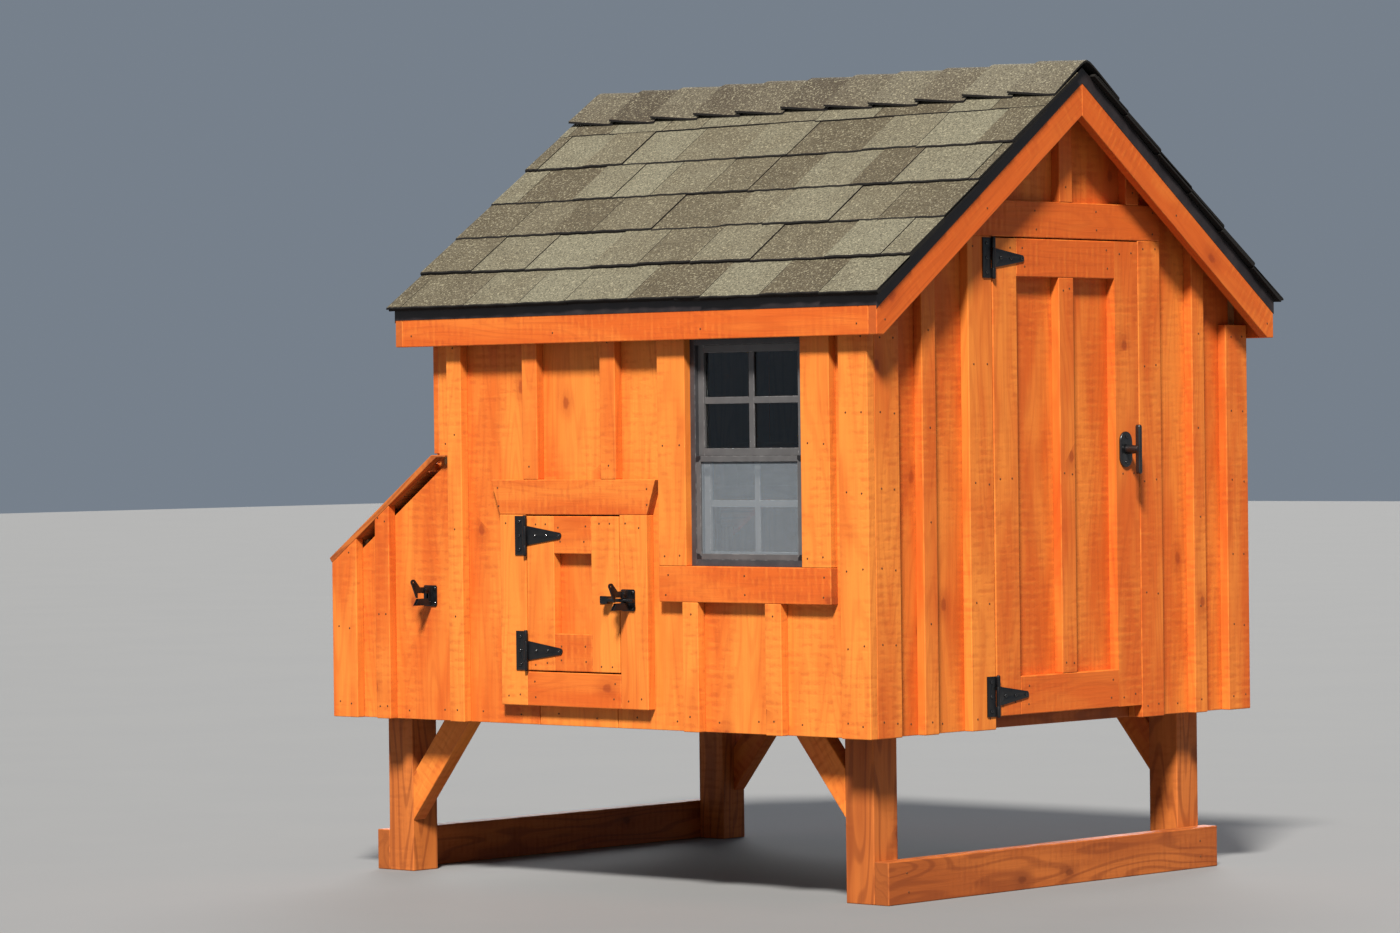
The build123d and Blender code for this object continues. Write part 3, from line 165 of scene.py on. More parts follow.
def wood_finish(name, pale, deep, late, knot, end, bare, figure_strength, saw_strength, knot_share, sheen):
    """Sawn softwood with uneven stain, rings, pores, saw marks with painted highlights, knots, end grain
    and arrises worn and painted lighter as highlights.
    """
    material, sheet, shader = new_finish(name)
    run = carried(sheet, "grain", "Vector")
    board = carried(sheet, "board")
    cut = carried(sheet, "cut")
    arris = carried(sheet, "arris")
    back = carried(sheet, "back")

    ring_density, ring_shift = 95.0, 40.0
    drift = cloudy(sheet, run, (1.1, 8.0, 8.0), detail=2.0, rough=0.5)
    rings = ramped(waves(drift * ring_density + board * ring_shift), 0.1, 1.0)
    patches = ramped(cloudy(sheet, run, (2.4, 10.0, 10.0), detail=3.0, rough=0.55), 0.34, 0.68)
    streaks = ramped(cloudy(sheet, run, (1.6, 46.0, 46.0), detail=3.0, rough=0.6), 0.40, 0.72)
    pores = ramped(cloudy(sheet, run, (9.0, 210.0, 210.0), detail=3.0, rough=0.65), 0.42, 0.70)

    blade_marks, blade_sway = 330.0, 1.6
    along = sheet.node("ShaderNodeSeparateXYZ", {}, {0: run})
    wander = cloudy(sheet, run, (9.0, 11.0, 11.0), detail=2.0, rough=0.5)
    blade = waves(along * blade_marks + wander * blade_sway)
    torn = ramped(cloudy(sheet, run, (70.0, 42.0, 42.0), detail=3.0, rough=0.6), 0.42, 0.64)
    sawn = ramped(cloudy(sheet, run, (2.6, 7.0, 7.0), detail=2.0, rough=0.5), 0.34, 0.58)
    saw = ramped(blade, -0.5, 1.0) * torn * sawn
    # The lighter half of each saw mark is a painted highlight.
    painted_saw_highlight = ramped(0.0 - blade, 0.0, 1.0) * torn * sawn

    knot_spread, knot_fray = (6.5, 10.0, 0.0), 0.10
    spots = sheet.node(
        "ShaderNodeTexVoronoi",
        {"voronoi_dimensions": "2D"},
        {"Vector": stretched(sheet, run, knot_spread), "Scale": 1.0},
        "Distance",
    )
    chosen = sheet.node("ShaderNodeSeparateColor", {}, {0: spots.beside("Color")})
    chosen = ramped(chosen, 1.0 - knot_share, 1.002 - knot_share)
    ragged = spots + knot_fray * cloudy(sheet, run, (60.0, 90.0, 90.0), detail=3.0, rough=0.6)
    heart = (1.0 - ramped(ragged, 0.10, 0.16)) * chosen
    swirl = (1.0 - ramped(ragged, 0.12, 0.40)) * chosen

    patch_share, board_share = 0.65, 0.80
    streak_share, pore_share, saw_highlight_share = 0.14, 0.12, 0.7
    swirl_share, heart_share, end_share, rub_share = 0.40, 0.60, 0.65, 0.45
    colour = glazed(ramped(patches * patch_share + board * board_share, 0.15, 1.25), pale, deep)
    colour = glazed(rings * figure_strength, colour, late)
    colour = glazed(streaks * streak_share + pores * pore_share, colour, late)
    colour = glazed(saw * saw_strength, colour, late)
    # Painted highlight on the lighter half of the saw marks.
    colour = glazed(painted_saw_highlight * saw_strength * saw_highlight_share, colour, pale)
    colour = glazed(swirl * swirl_share, colour, late)
    colour = glazed(heart * heart_share, colour, knot)
    bare_figure = rings * 0.30 + streaks * 0.25 + pores * 0.15 + heart * 0.5
    bare_late = tuple(c * 0.5 for c in bare[:3]) + (1,)
    colour = glazed(back, colour, glazed(bare_figure, bare, bare_late))
    colour = glazed(cut * end_share, colour, end)
    # Arrises glazed pale: partly real wear, partly a painted highlight where the edges catch the light.
    rubbed = arris * ramped(cloudy(sheet, run, (30.0, 60.0, 60.0), detail=2.0, rough=0.6), 0.40, 0.65)
    glazed(rubbed * rub_share, colour, pale).feed(shader, "Base Color")
    (0.56 + pores * 0.12 + saw * 0.14 + cut * 0.12).feed(shader, "Roughness")
    shader.inputs["Specular IOR Level"].default_value = sheen
    height = pores * 0.30 + painted_saw_highlight * 0.45 - saw * 0.35 + rings * 0.2 - heart * 0.4
    raised(shader, strength=0.45, depth=0.0009, height=height)
    return material


def solids_of(node):
    """The closed pieces of a node, each as its triangles of corner points."""
    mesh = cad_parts[node].data
    corners = [tuple(round(c, 6) for c in point.co) for point in mesh.vertices]
    unmatched = set()
    piece = []
    for face in mesh.polygons:
        ring = [corners[i] for i in face.vertices]
        if len(set(ring)) < 3:
            continue
        piece.append(ring)
        for start, end in zip(ring, ring[1:] + ring[:1]):
            if (end, start) in unmatched:
                unmatched.remove((end, start))
            else:
                unmatched.add((start, end))
        if not unmatched:
            yield piece
            piece = []


def welded(rings):
    """A piece's triangles joined at their corners, with each flat side made one face."""
    shape = bmesh.new()
    corner = {}
    for ring in rings:
        for spot in ring:
            if spot not in corner:
                corner[spot] = shape.verts.new(spot)
        loop = [corner[spot] for spot in ring]
        if shape.faces.get(loop) is None:
            shape.faces.new(loop)
    shape.normal_update()
    bmesh.ops.dissolve_limit(shape, angle_limit=0.02, verts=shape.verts, edges=shape.edges)
    return shape


def rounded(shape, edges, easing):
    """Rounds some edges of a piece over and gives the new faces."""
    made = bmesh.ops.bevel(
        shape, geom=edges, offset=easing, segments=2, profile=0.5, affect="EDGES", clamp_overlap=True
    )
    return set(made["faces"])


def placed(name, data):
    """A new object at the origin."""
    made = bpy.data.objects.new(name, data)
    bpy.context.scene.collection.objects.link(made)
    return made


def mesh_of(name, points, faces, material):
    """An object at the origin with its place in its mesh."""
    mesh = bpy.data.meshes.new(name)
    mesh.from_pydata(points, [], faces)
    mesh.materials.append(material)
    return placed(name, mesh)


def marked(mesh, name, kind, domain, values):
    """A named value on each point or face, for the finish to read."""
    field = "vector" if kind == "FLOAT_VECTOR" else "value"
    mesh.attributes.new(name, kind, domain).data.foreach_set(field, np.array(values, np.float32).ravel())


def smoothed(mesh):
    """Shades curved sides smooth and keeps the arrises sharp."""
    mesh.shade_smooth()
    mesh.set_sharp_from_angle(angle=math.radians(38))


# Boards take stain unevenly by chance; level boards and those facing the door gable are deepened as painted
# shade.
own_tone, level_painted_shade, gable_painted_shade = 0.55, 0.50, 0.33
plumb, side_on, square_on, sharp_angle = 0.9, 0.5, 0.8, 0.6
grain_shift = 9
coop_heart = Vector((0.1, 0.0, 0.80))
laid = {}


def dressed(node, body, material, easing, lengthwise=None, soak=0.0, bare_back=False, smooth=False):
    """The node's pieces with eased arrises, each with its own run of grain and depth of stain, deepened as
    painted shade on level and gable-facing boards.
    """
    luck = random.Random(node)
    points, faces = [], []
    grain, board, cut, arris, back = [], [], [], [], []
    laid[node] = []
    for rings in solids_of(node):
        shape = welded(rings)
        longest = max(shape.edges, key=lambda e: e.calc_length())
        run = Vector(lengthwise) if lengthwise else (longest.verts[1].co - longest.verts[0].co).normalized()
        # Level boards are stained deeper as painted shade.
        tone = soak + own_tone * luck.random() + (0.0 if abs(run.z) > plumb else level_painted_shade)
        sides = [f for f in shape.faces if abs(f.normal.dot(run)) < side_on]
        out = max(sides, key=lambda f: f.calc_area()).normal
        out = (out - run * out.dot(run)).normalized()
        spread = [[v.co.dot(way) for v in shape.verts] for way in (run, run.cross(out), out)]
        half = [(max(s) - min(s)) / 2 for s in spread]
        centre = [(min(s) + max(s)) / 2 for s in spread]
        middle = run * centre[0] + run.cross(out) * centre[1] + out * centre[2]
        if out.dot(middle - coop_heart) < 0:
            out = -out
        wide = run.cross(out)
        # Boards facing the door gable are stained deeper as painted shade.
        tone += gable_painted_shade * max(0.0, out.x)
        eased = set()
        if easing:
            joined = [e for e in shape.edges if len(e.link_faces) == 2]
            eased = rounded(shape, [e for e in joined if e.calc_face_angle() > sharp_angle], easing)
        shape.normal_update()
        laid[node].append((middle, run, wide, out, half, BVHTree.FromBMesh(shape)))
        first = len(points)
        shape.verts.index_update()
        shift = [luck.uniform(-grain_shift, grain_shift) for _ in range(3)]
        for v in shape.verts:
            points.append(v.co.copy())
            off = v.co - middle
            grain.append([off.dot(way) + s for way, s in zip((run, wide, out), shift)])
            board.append(tone)
        for f in shape.faces:
            faces.append([first + v.index for v in f.verts])
            cut.append(abs(f.normal.dot(run)) > square_on)
            arris.append(f in eased)
            back.append(bare_back and f.normal.dot(out) < -square_on)
        shape.free()
    made = mesh_of(node + ".eased", points, faces, material)
    marked(made.data, "grain", "FLOAT_VECTOR", "POINT", grain)
    marked(made.data, "board", "FLOAT", "POINT", board)
    for name, values in (("cut", cut), ("arris", arris), ("back", back)):
        marked(made.data, name, "FLOAT", "FACE", values)
    if smooth:
        smoothed(made.data)
    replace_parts(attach(made, body), node)


stain = wood_finish(
    "cedar stain",
    pale=(0.75, 0.224, 0.033, 1),
    deep=(0.57, 0.102, 0.012, 1),
    late=(0.34, 0.048, 0.006, 1),
    knot=(0.25, 0.034, 0.006, 1),
    end=(0.34, 0.068, 0.012, 1),
    bare=(0.43, 0.26, 0.115, 1),
    figure_strength=0.16,
    saw_strength=0.30,
    knot_share=0.13,
    sheen=0.25,
)
# A browner stain, partly the wood's own colour and partly painted shade for the legs under the coop and the
# nest lid's underside.
browner_stain_and_shade = wood_finish(
    "browner cedar stain and shade",
    pale=(0.52, 0.142, 0.026, 1),
    deep=(0.34, 0.078, 0.014, 1),
    late=(0.16, 0.030, 0.007, 1),
    knot=(0.12, 0.022, 0.005, 1),
    end=(0.26, 0.066, 0.012, 1),
    bare=(0.30, 0.15, 0.06, 1),
    figure_strength=0.45,
    saw_strength=0.20,
    knot_share=0.18,
    sheen=0.25,
)
post_easing = 0.0022
dressed("runners", "coop", browner_stain_and_shade, post_easing, soak=-0.45)
dressed("legs", "coop", browner_stain_and_shade, post_easing, soak=-0.15)
dressed("leg_braces", "coop", stain, post_easing, soak=-0.35)


# Floor frame, floor deck and wall frame.
# Sawn joists carry a sheet floor and the studs stand on it; the joists are stained where the weather gets
# at them, and the rest is left bare and shows only through the doors.
bare_timber = wood_finish(
    "bare softwood",
    pale=(0.62, 0.41, 0.20, 1),
    deep=(0.52, 0.31, 0.13, 1),
    late=(0.33, 0.17, 0.06, 1),
    knot=(0.16, 0.07, 0.03, 1),
    end=(0.42, 0.25, 0.11, 1),
    bare=(0.50, 0.30, 0.13, 1),
    figure_strength=0.35,
    saw_strength=0.12,
    knot_share=0.20,
    sheen=0.25,
)
sheet_timber = wood_finish(
    "sheet timber",
    pale=(0.60, 0.42, 0.23, 1),
    deep=(0.53, 0.34, 0.16, 1),
    late=(0.36, 0.20, 0.08, 1),
    knot=(0.20, 0.09, 0.04, 1),
    end=(0.34, 0.21, 0.10, 1),
    bare=(0.55, 0.36, 0.18, 1),
    figure_strength=0.45,
    saw_strength=0.0,
    knot_share=0.10,
    sheen=0.25,
)
stud_easing, sheet_easing = 0.0016, 0.0008
dressed("floor_frame", "coop", browner_stain_and_shade, stud_easing)
dressed("wall_frame", "coop", bare_timber, stud_easing)
dressed("floor_deck", "coop", sheet_timber, sheet_easing)


# Siding, corner boards and battens.
# Upright rough-sawn boards clad all four walls, with battens nailed over their joints and wide boards at
# the corners; the outside is stained orange and the backs are bare.
upright = (0, 0, 1)
board_easing, trim_easing = 0.0014, 0.0018
for wall in ("front_siding", "rear_siding", "door_wall_siding", "nest_wall_siding"):
    dressed(wall, "coop", stain, board_easing, lengthwise=upright, bare_back=True)
dressed("corner_boards", "coop", stain, trim_easing, lengthwise=upright, soak=-0.15)
dressed("battens", "coop", stain, trim_easing, lengthwise=upright)


# Window.
# A dark bronze metal frame holds a fixed upper sash and a lower one that slides up, each with thin glazing
# bars, and a half screen with black corner keys outside it; stained boards trim its sides and sill.
def in_place(sheet):
    """Where a point of the surface lies on the coop."""
    return sheet.node("ShaderNodeTexCoord", {}, {}, "Object")


def coated_finish(name, base, worn, rough, fleck, sheen):
    """Factory coat on metal: faint fleck and dust, rubbed lighter along the arrises."""
    material, sheet, shader = new_finish(name)
    place = in_place(sheet)
    cloud_share, speck_share, rub_share, rub_gain = 0.5, 0.25, 0.8, 2.2
    clouds = cloudy(sheet, place, (22.0, 22.0, 22.0), detail=4.0, rough=0.6)
    specks = cloudy(sheet, place, (fleck, fleck, fleck), detail=2.0, rough=0.5)
    patchy = ramped(cloudy(sheet, place, (90.0, 90.0, 90.0), detail=3.0, rough=0.6), 0.45, 0.70)
    rub = carried(sheet, "arris") * patchy
    bright = tuple(min(1.0, c * rub_gain) for c in worn[:3]) + (1,)
    mottle = ramped(clouds, 0.35, 0.75) * cloud_share + ramped(specks, 0.5, 0.8) * speck_share
    glazed(rub * rub_share, glazed(mottle, base, worn), bright).feed(shader, "Base Color")
    (rough + (clouds - 0.5) * 0.3 + specks * 0.08).feed(shader, "Roughness")
    shader.inputs["Specular IOR Level"].default_value = sheen
    raised(shader, strength=0.25, depth=0.0004, height=specks)
    return material


bronze = coated_finish(
    "dark bronze coat", (0.034, 0.033, 0.036, 1), (0.070, 0.067, 0.068, 1),
    rough=0.34, fleck=700.0, sheen=0.5,
)
sash_coat = coated_finish(
    "grey sash coat", (0.076, 0.072, 0.072, 1), (0.122, 0.116, 0.114, 1),
    rough=0.38, fleck=700.0, sheen=0.5,
)
# A paler copy of the sash coat: painted highlight for the light reaching the lower sash through the screen.
lit_sash_coat = coated_finish(
    "sash coat painted lit", (0.20, 0.20, 0.20, 1), (0.26, 0.26, 0.26, 1),
    rough=0.38, fleck=700.0, sheen=0.5,
)
sash_easing = 0.0008
dressed("window_frame", "coop", bronze, sash_easing)
dressed("upper_sash", "coop", sash_coat, sash_easing)
dressed("screen_frame", "coop", sash_coat, sash_easing)
# Painted highlight: the lower sash wears the paler, lit copy of the sash coat.
dressed("lower_sash", "lower_sash", lit_sash_coat, sash_easing)
dressed("window_trim", "coop", stain, trim_easing, soak=-0.10)

key_black = coated_finish(
    "screen corner keys", (0.010, 0.009, 0.010, 1), (0.022, 0.020, 0.022, 1),
    rough=0.5, fleck=700.0, sheen=0.3,
)
low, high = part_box("screen_frame")
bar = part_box("screen_cloth")[0].x - low.x
key_proud, key_clip, key_easing = 0.0006, 0.55, 0.0005
outline = [(0, 0), (bar, 0), (bar, key_clip * bar), (key_clip * bar, bar), (0, bar)]
keys = bmesh.new()
for x, z, right, up in (
    (low.x, low.z, 1, 1),
    (high.x, low.z, -1, 1),
    (high.x, high.z, -1, -1),
    (low.x, high.z, 1, -1),
):
    front = [keys.verts.new((x + right * a, low.y - key_proud, z + up * b)) for a, b in outline]
    rear = [keys.verts.new((v.co.x, low.y + key_proud, v.co.z)) for v in front]
    keys.faces.new(front)
    keys.faces.new(rear[::-1])
    for number in range(len(outline)):
        keys.faces.new((front[number], front[number - 1], rear[number - 1], rear[number]))
bmesh.ops.recalc_face_normals(keys, faces=keys.faces)
rounded(keys, [e for e in keys.edges if all(v.co.y < low.y for v in e.verts)], key_easing)
keys.verts.index_update()
key_points = [v.co.copy() for v in keys.verts]
key_faces = [[v.index for v in f.verts] for f in keys.faces]
keys.free()
corner_keys = mesh_of("screen_corner_keys", key_points, key_faces, key_black)
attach(corner_keys, "coop")

clear_glass, sheet, shader = new_finish("window glass")
clean_pane, smeared_pane = (0.80, 0.85, 0.86, 1), (0.68, 0.73, 0.74, 1)
smear = ramped(cloudy(sheet, in_place(sheet), (14.0, 14.0, 30.0), detail=4.0, rough=0.6), 0.45, 0.8)
glazed(smear, clean_pane, smeared_pane).feed(shader, "Base Color")
(0.01 + smear * 0.06).feed(shader, "Roughness")
shader.inputs["Transmission Weight"].default_value = 1.0
shader.inputs["IOR"].default_value = 1.45
shader.inputs["Specular IOR Level"].default_value = 0.6
for pane in ("upper_glass", "lower_glass"):
    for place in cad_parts[pane].material_slots:
        place.material = clear_glass


# Screen cloth.
# Fine grey wire cloth is woven square and rolled into the screen frame; it veils the lower sash.
def with_nodes(name, tree, points, values, body, marks=None):
    """Runs a tree over some points and keeps what it makes as a plain mesh that rides on one body."""
    base = bpy.data.meshes.new(name)
    base.from_pydata(points, [], [])
    for mark, (kind, each) in (marks or {}).items():
        marked(base, mark, kind, "POINT", each)
    made = placed(name, base)
    work = made.modifiers.new("work", "NODES")
    work.node_group = tree
    for item in tree.interface.items_tree:
        if item.in_out == "INPUT" and item.name in values:
            work[item.identifier] = values[item.name]
    bpy.context.view_layer.update()
    done = bpy.data.meshes.new_from_object(made.evaluated_get(bpy.context.evaluated_depsgraph_get()))
    made.modifiers.remove(work)
    made.data = done
    done.name = name
    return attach(made, body)


def tree_with(name, inputs):
    """An empty tree with the given named inputs; gives the tree, its sheet and its input tones by name."""
    tree = bpy.data.node_groups.new(name, "GeometryNodeTree")
    tree.interface.new_socket("Points", in_out="INPUT", socket_type="NodeSocketGeometry")
    for label, kind in inputs.items():
        tree.interface.new_socket(label, in_out="INPUT", socket_type="NodeSocket" + kind)
    tree.interface.new_socket("Pieces", in_out="OUTPUT", socket_type="NodeSocketGeometry")
    sheet = Tone(tree)
    first = sheet.node("NodeGroupInput")
    return tree, sheet, {label: first.beside(label) for label in ["Points", *inputs]}


def closed_off(sheet, pieces, material):
    """Ends a tree: instances made real, the finish set, the result handed out."""
    real = sheet.node("GeometryNodeRealizeInstances", {}, {"Geometry": pieces})
    done = sheet.node("GeometryNodeSetMaterial", {}, {"Geometry": real, "Material": material})
    end = sheet.tree.nodes.new("NodeGroupOutput")
    sheet.tree.links.new(done.socket, end.inputs[0])


cloth_tree, sheet, given = tree_with(
    "wire cloth",
    {"Width": "Float", "Height": "Float", "Pitch": "Float", "Wire": "Float", "Finish": "Material"},
)
wire, half_wire = given["Wire"], given["Wire"] * 0.5
weave_lift = 0.25
layers = []
for across, along, lift in (("Width", "Height", -weave_lift), ("Height", "Width", weave_lift)):
    warp = across == "Width"
    count = sheet.node("ShaderNodeMath", {"operation": "DIVIDE"}, {0: given[across], 1: given["Pitch"]})
    count = sheet.node("FunctionNodeFloatToInt", {"rounding_mode": "FLOOR"}, {0: count})
    start = (given["Pitch"] - given[across]) * 0.5
    depth = wire * lift
    corner = {0: start, 1: depth, 2: 0.0} if warp else {0: 0.0, 1: depth, 2: start}
    stride = {0 if warp else 2: given["Pitch"]}
    gauge = {0: wire, 1: half_wire, 2: given[along]} if warp else {0: given[along], 1: half_wire, 2: wire}
    line = sheet.node(
        "GeometryNodeMeshLine",
        {},
        {
            "Count": count,
            "Start Location": sheet.node("ShaderNodeCombineXYZ", {}, corner),
            "Offset": sheet.node("ShaderNodeCombineXYZ", {}, stride),
        },
    )
    strand = sheet.node("GeometryNodeMeshCube", {}, {"Size": sheet.node("ShaderNodeCombineXYZ", {}, gauge)})
    layers.append(sheet.node("GeometryNodeInstanceOnPoints", {}, {"Points": line, "Instance": strand}))
join = sheet.node("GeometryNodeJoinGeometry", {}, {0: layers[0]})
sheet.tree.links.new(layers[1].socket, join.socket.node.inputs[0])
low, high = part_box("screen_cloth")
moved = sheet.node("GeometryNodeTransform", {}, {"Geometry": join, "Translation": (low + high) / 2})
closed_off(sheet, moved, given["Finish"])

wire_grey, sheet, shader = new_finish("screen wire")
clean_wire, dusty_wire = (0.235, 0.265, 0.295, 1), (0.255, 0.285, 0.315, 1)
dust = cloudy(sheet, in_place(sheet), (40.0, 40.0, 40.0), detail=3.0, rough=0.6)
glazed(ramped(dust, 0.35, 0.7), clean_wire, dusty_wire).feed(shader, "Base Color")
(0.45 + dust * 0.2).feed(shader, "Roughness")
wire_pitch, wire_gauge = 0.0016, 0.00036
cloth = with_nodes(
    "screen_wires",
    cloth_tree,
    [(0, 0, 0)],
    {
        "Width": high.x - low.x,
        "Height": high.z - low.z,
        "Pitch": wire_pitch,
        "Wire": wire_gauge,
        "Finish": wire_grey,
    },
    "coop",
)
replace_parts(cloth, "screen_cloth")


# Roof frame, fascia, rakes and drip edge.
# Bare rafters carry a board deck and a sheet of felt; stained boards close the eaves and gables, and a
# folded dark metal edge runs under the shingles all round, its near-black partly painted shade from the
# shingles.
dressed("rafters", "coop", bare_timber, stud_easing)
dressed("roof_deck", "coop", sheet_timber, sheet_easing)
dressed("fascia_boards", "coop", stain, trim_easing, soak=0.35)
dressed("rake_boards", "coop", stain, trim_easing)
# The drip edge's near-black is partly its own colour and partly painted shade cast by the shingles over it.
roof_metal_and_shade = coated_finish(
    "dark roof metal and painted shade", (0.014, 0.0105, 0.0115, 1), (0.038, 0.028, 0.028, 1),
    rough=0.42, fleck=600.0, sheen=0.4,
)
fold_easing = 0.0003
dressed("drip_edges", "coop", roof_metal_and_shade, fold_easing)
roof_felt = coated_finish(
    "roof felt", (0.018, 0.018, 0.018, 1), (0.045, 0.043, 0.040, 1),
    rough=0.88, fleck=320.0, sheen=0.2,
)
dressed("underlayment", "coop", roof_felt, easing=0)


# Shingles and ridge caps.
# Felt shingles faced with mineral granules are nailed up the slope in staggered courses, their tabs cut to
# different widths and blended in olive and brown greys; short caps fold over the ridge.
def granule_finish(name, dark, middle, light):
    """Mineral granules on felt: each tab has its own blend, speckled, with black cut edges."""
    material, sheet, shader = new_finish(name)
    place = in_place(sheet)
    dark_grain = (0.028, 0.023, 0.015, 1)
    pale_grain = (0.34, 0.305, 0.205, 1)
    cut_edge = (0.007, 0.006, 0.006, 1)
    blotch_share, dark_share, pale_share, edge_share = 0.70, 0.66, 0.60, 0.97
    blotches = cloudy(sheet, place, (12.0, 12.0, 12.0), detail=3.0, rough=0.6) - 0.5
    blend = carried(sheet, "board") + blotch_share * blotches
    stops = [(0.05, dark), (0.45, middle), (0.95, light)]
    ground = sheet.node("ShaderNodeValToRGB", {"stops": stops}, {0: blend})
    grit = cloudy(sheet, place, (250.0, 250.0, 250.0), detail=2.0, rough=0.7)
    clumps = cloudy(sheet, place, (190.0, 190.0, 190.0), detail=2.0, rough=0.7)
    colour = glazed(ramped(grit, 0.46, 0.62) * dark_share, ground, dark_grain)
    colour = glazed(ramped(clumps, 0.54, 0.68) * pale_share, colour, pale_grain)
    glazed(carried(sheet, "cut") * edge_share, colour, cut_edge).feed(shader, "Base Color")
    (0.86 + grit * 0.1).feed(shader, "Roughness")
    shader.inputs["Specular IOR Level"].default_value = 0.2
    raised(shader, strength=0.8, depth=0.0012, height=grit + clumps * 0.6)
    return material


def corners_of(rings):
    """The corner points of a piece, ordered along the ridge."""
    return sorted({spot for ring in rings for spot in ring})


granules = granule_finish(
    "mineral granules",
    dark=(0.078, 0.062, 0.038, 1),
    middle=(0.116, 0.098, 0.063, 1),
    light=(0.158, 0.144, 0.098, 1),
)
cap_granules = granule_finish(
    "ridge granules",
    dark=(0.058, 0.045, 0.030, 1),
    middle=(0.090, 0.074, 0.050, 1),
    light=(0.132, 0.116, 0.081, 1),
)

# One tab, drawn one wide, one long and one thick, with a ragged lower edge.
tab_shape = bmesh.new()
steps = [-0.5, -0.31, -0.08, 0.14, 0.33, 0.5]
ragged_butt = 0.008
rows = []
for sag, rise in ((0.0, 0.0), (0.0, 0.7), (0.012, 1.0), (1.0, 1.0), (1.0, 0.0)):
    row = []
    for number, step in enumerate(steps):
        ragged = ragged_butt * (number % 2) * (sag < 0.5)
        row.append(tab_shape.verts.new((step, sag + ragged, rise)))
    rows.append(row)
for number, row in enumerate(rows):
    above = rows[(number + 1) % len(rows)]
    for left in range(len(steps) - 1):
        tab_shape.faces.new((row[left], row[left + 1], above[left + 1], above[left]))
tab_shape.faces.new([row[0] for row in rows])
tab_shape.faces.new([row[-1] for row in reversed(rows)])
bmesh.ops.recalc_face_normals(tab_shape, faces=tab_shape.faces)
tab_mesh = bpy.data.meshes.new("shingle tab")
tab_shape.to_mesh(tab_mesh)
marked(tab_mesh, "cut", "FLOAT", "FACE", [f.normal.z < 0.7 for f in tab_shape.faces])
tab_shape.free()
tab = bpy.data.objects.new("shingle tab", tab_mesh)


def on_points(sheet, name):
    """The three numbers that each point carries under a name."""
    return sheet.node("GeometryNodeInputNamedAttribute", {"data_type": "FLOAT_VECTOR"}, {"Name": name})


def turned(sheet, first, then):
    """A turn followed by another about the piece's own axes."""
    turns = [sheet.node("FunctionNodeEulerToRotation", {}, {0: angles}) for angles in (first, then)]
    return sheet.node("FunctionNodeRotateRotation", {"rotation_space": "LOCAL"}, dict(enumerate(turns)))


stamp_tree, sheet, given = tree_with(
    "laid pieces",
    {"Shape": "Object", "Scale": "Float", "Spin": "Float", "Seed": "Int", "Finish": "Material"},
)
chance = sheet.node(
    "FunctionNodeRandomValue",
    {"data_type": "FLOAT"},
    {"Min": given["Spin"] * -1.0, "Max": given["Spin"], "Seed": given["Seed"]},
    1,
)
spun = turned(sheet, on_points(sheet, "turn"), sheet.node("ShaderNodeCombineXYZ", {}, {2: chance}))
size = on_points(sheet, "size")
scaled = sheet.node("ShaderNodeVectorMath", {"operation": "SCALE"}, {0: size, "Scale": given["Scale"]})
shape = sheet.node("GeometryNodeObjectInfo", {}, {0: given["Shape"]}, "Geometry")
stamped = sheet.node(
    "GeometryNodeInstanceOnPoints",
    {},
    {"Points": given["Points"], "Instance": shape, "Rotation": spun, "Scale": scaled},
)
closed_off(sheet, stamped, given["Finish"])

roof_pitch = math.atan2(8.5, 12.0)
tab_width, least_tab, half_slot = (0.11, 0.21), 0.02, 0.0009
rake_margin, ridge_margin = 0.006, 0.045
butt_setback = (0.012, 0.007, 0.0)
butt_wander = (0.0, 0.0, 0.0015, 0.004)
butt_layers = (1.2, 1.5, 1.8)
course_stagger, first_tone, tone_step = 0.12, 0.5, (0.15, 0.4)
for slope, facing in (("shingles_front", 1), ("shingles_rear", -1)):
    luck = random.Random(slope)
    normal = Vector((0, -math.sin(roof_pitch) * facing, math.cos(roof_pitch)))
    spots, turns, sizes, tones = [], [], [], []
    courses = [corners_of(rings) for rings in solids_of(slope)]
    courses.sort(key=lambda c: min(p[2] for p in c))
    for number, course in enumerate(courses):
        last = number == len(courses) - 1
        ends = [course[0][0] + rake_margin, course[-1][0]]
        profile = sorted({p[1:] for p in course}, key=lambda p: p[1])
        butt = sorted((Vector((0, *p)) for p in profile[:2]), key=lambda p: p.dot(normal))
        top = sorted((Vector((0, *p)) for p in profile[2:]), key=lambda p: p.dot(normal))
        rise = top[0] - butt[0]
        up = rise.normalized()
        thick = (butt[1] - butt[0]).length
        axes = Matrix(((facing, 0, 0), up, Vector((facing, 0, 0)).cross(up))).transposed()
        at = ends[0] - luck.uniform(0.0, course_stagger)
        tone = first_tone
        while at < ends[1]:
            width = luck.uniform(*tab_width)
            left, right = max(at, ends[0]), min(at + width, ends[1])
            at += width
            if right - left < least_tab:
                continue
            slot_left = 0.0 if left == ends[0] else half_slot
            slot_right = 0.0 if right == ends[1] else half_slot
            left, right = left + slot_left, right - slot_right
            short = luck.choice(butt_wander) + butt_setback[min(number, 2)]
            bold = 1.0 if number < 2 or last else luck.choice(butt_layers)
            length = rise.length - short - (ridge_margin if last else 0.0)
            tone = (tone + luck.choice((-1, 1)) * luck.uniform(*tone_step)) % 1.0
            spots.append(Vector(((left + right) / 2, 0, 0)) + butt[0] + up * short)
            turns.append(axes.to_euler())
            sizes.append((right - left, length, thick * bold))
            tones.append(tone)
    shingled = with_nodes(
        slope + ".tabs",
        stamp_tree,
        spots,
        {"Shape": tab, "Scale": 1.0, "Spin": 0.0, "Seed": 1, "Finish": granules},
        "coop",
        {"turn": ("FLOAT_VECTOR", turns), "size": ("FLOAT_VECTOR", sizes), "board": ("FLOAT", tones)},
    )
    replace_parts(shingled, slope)

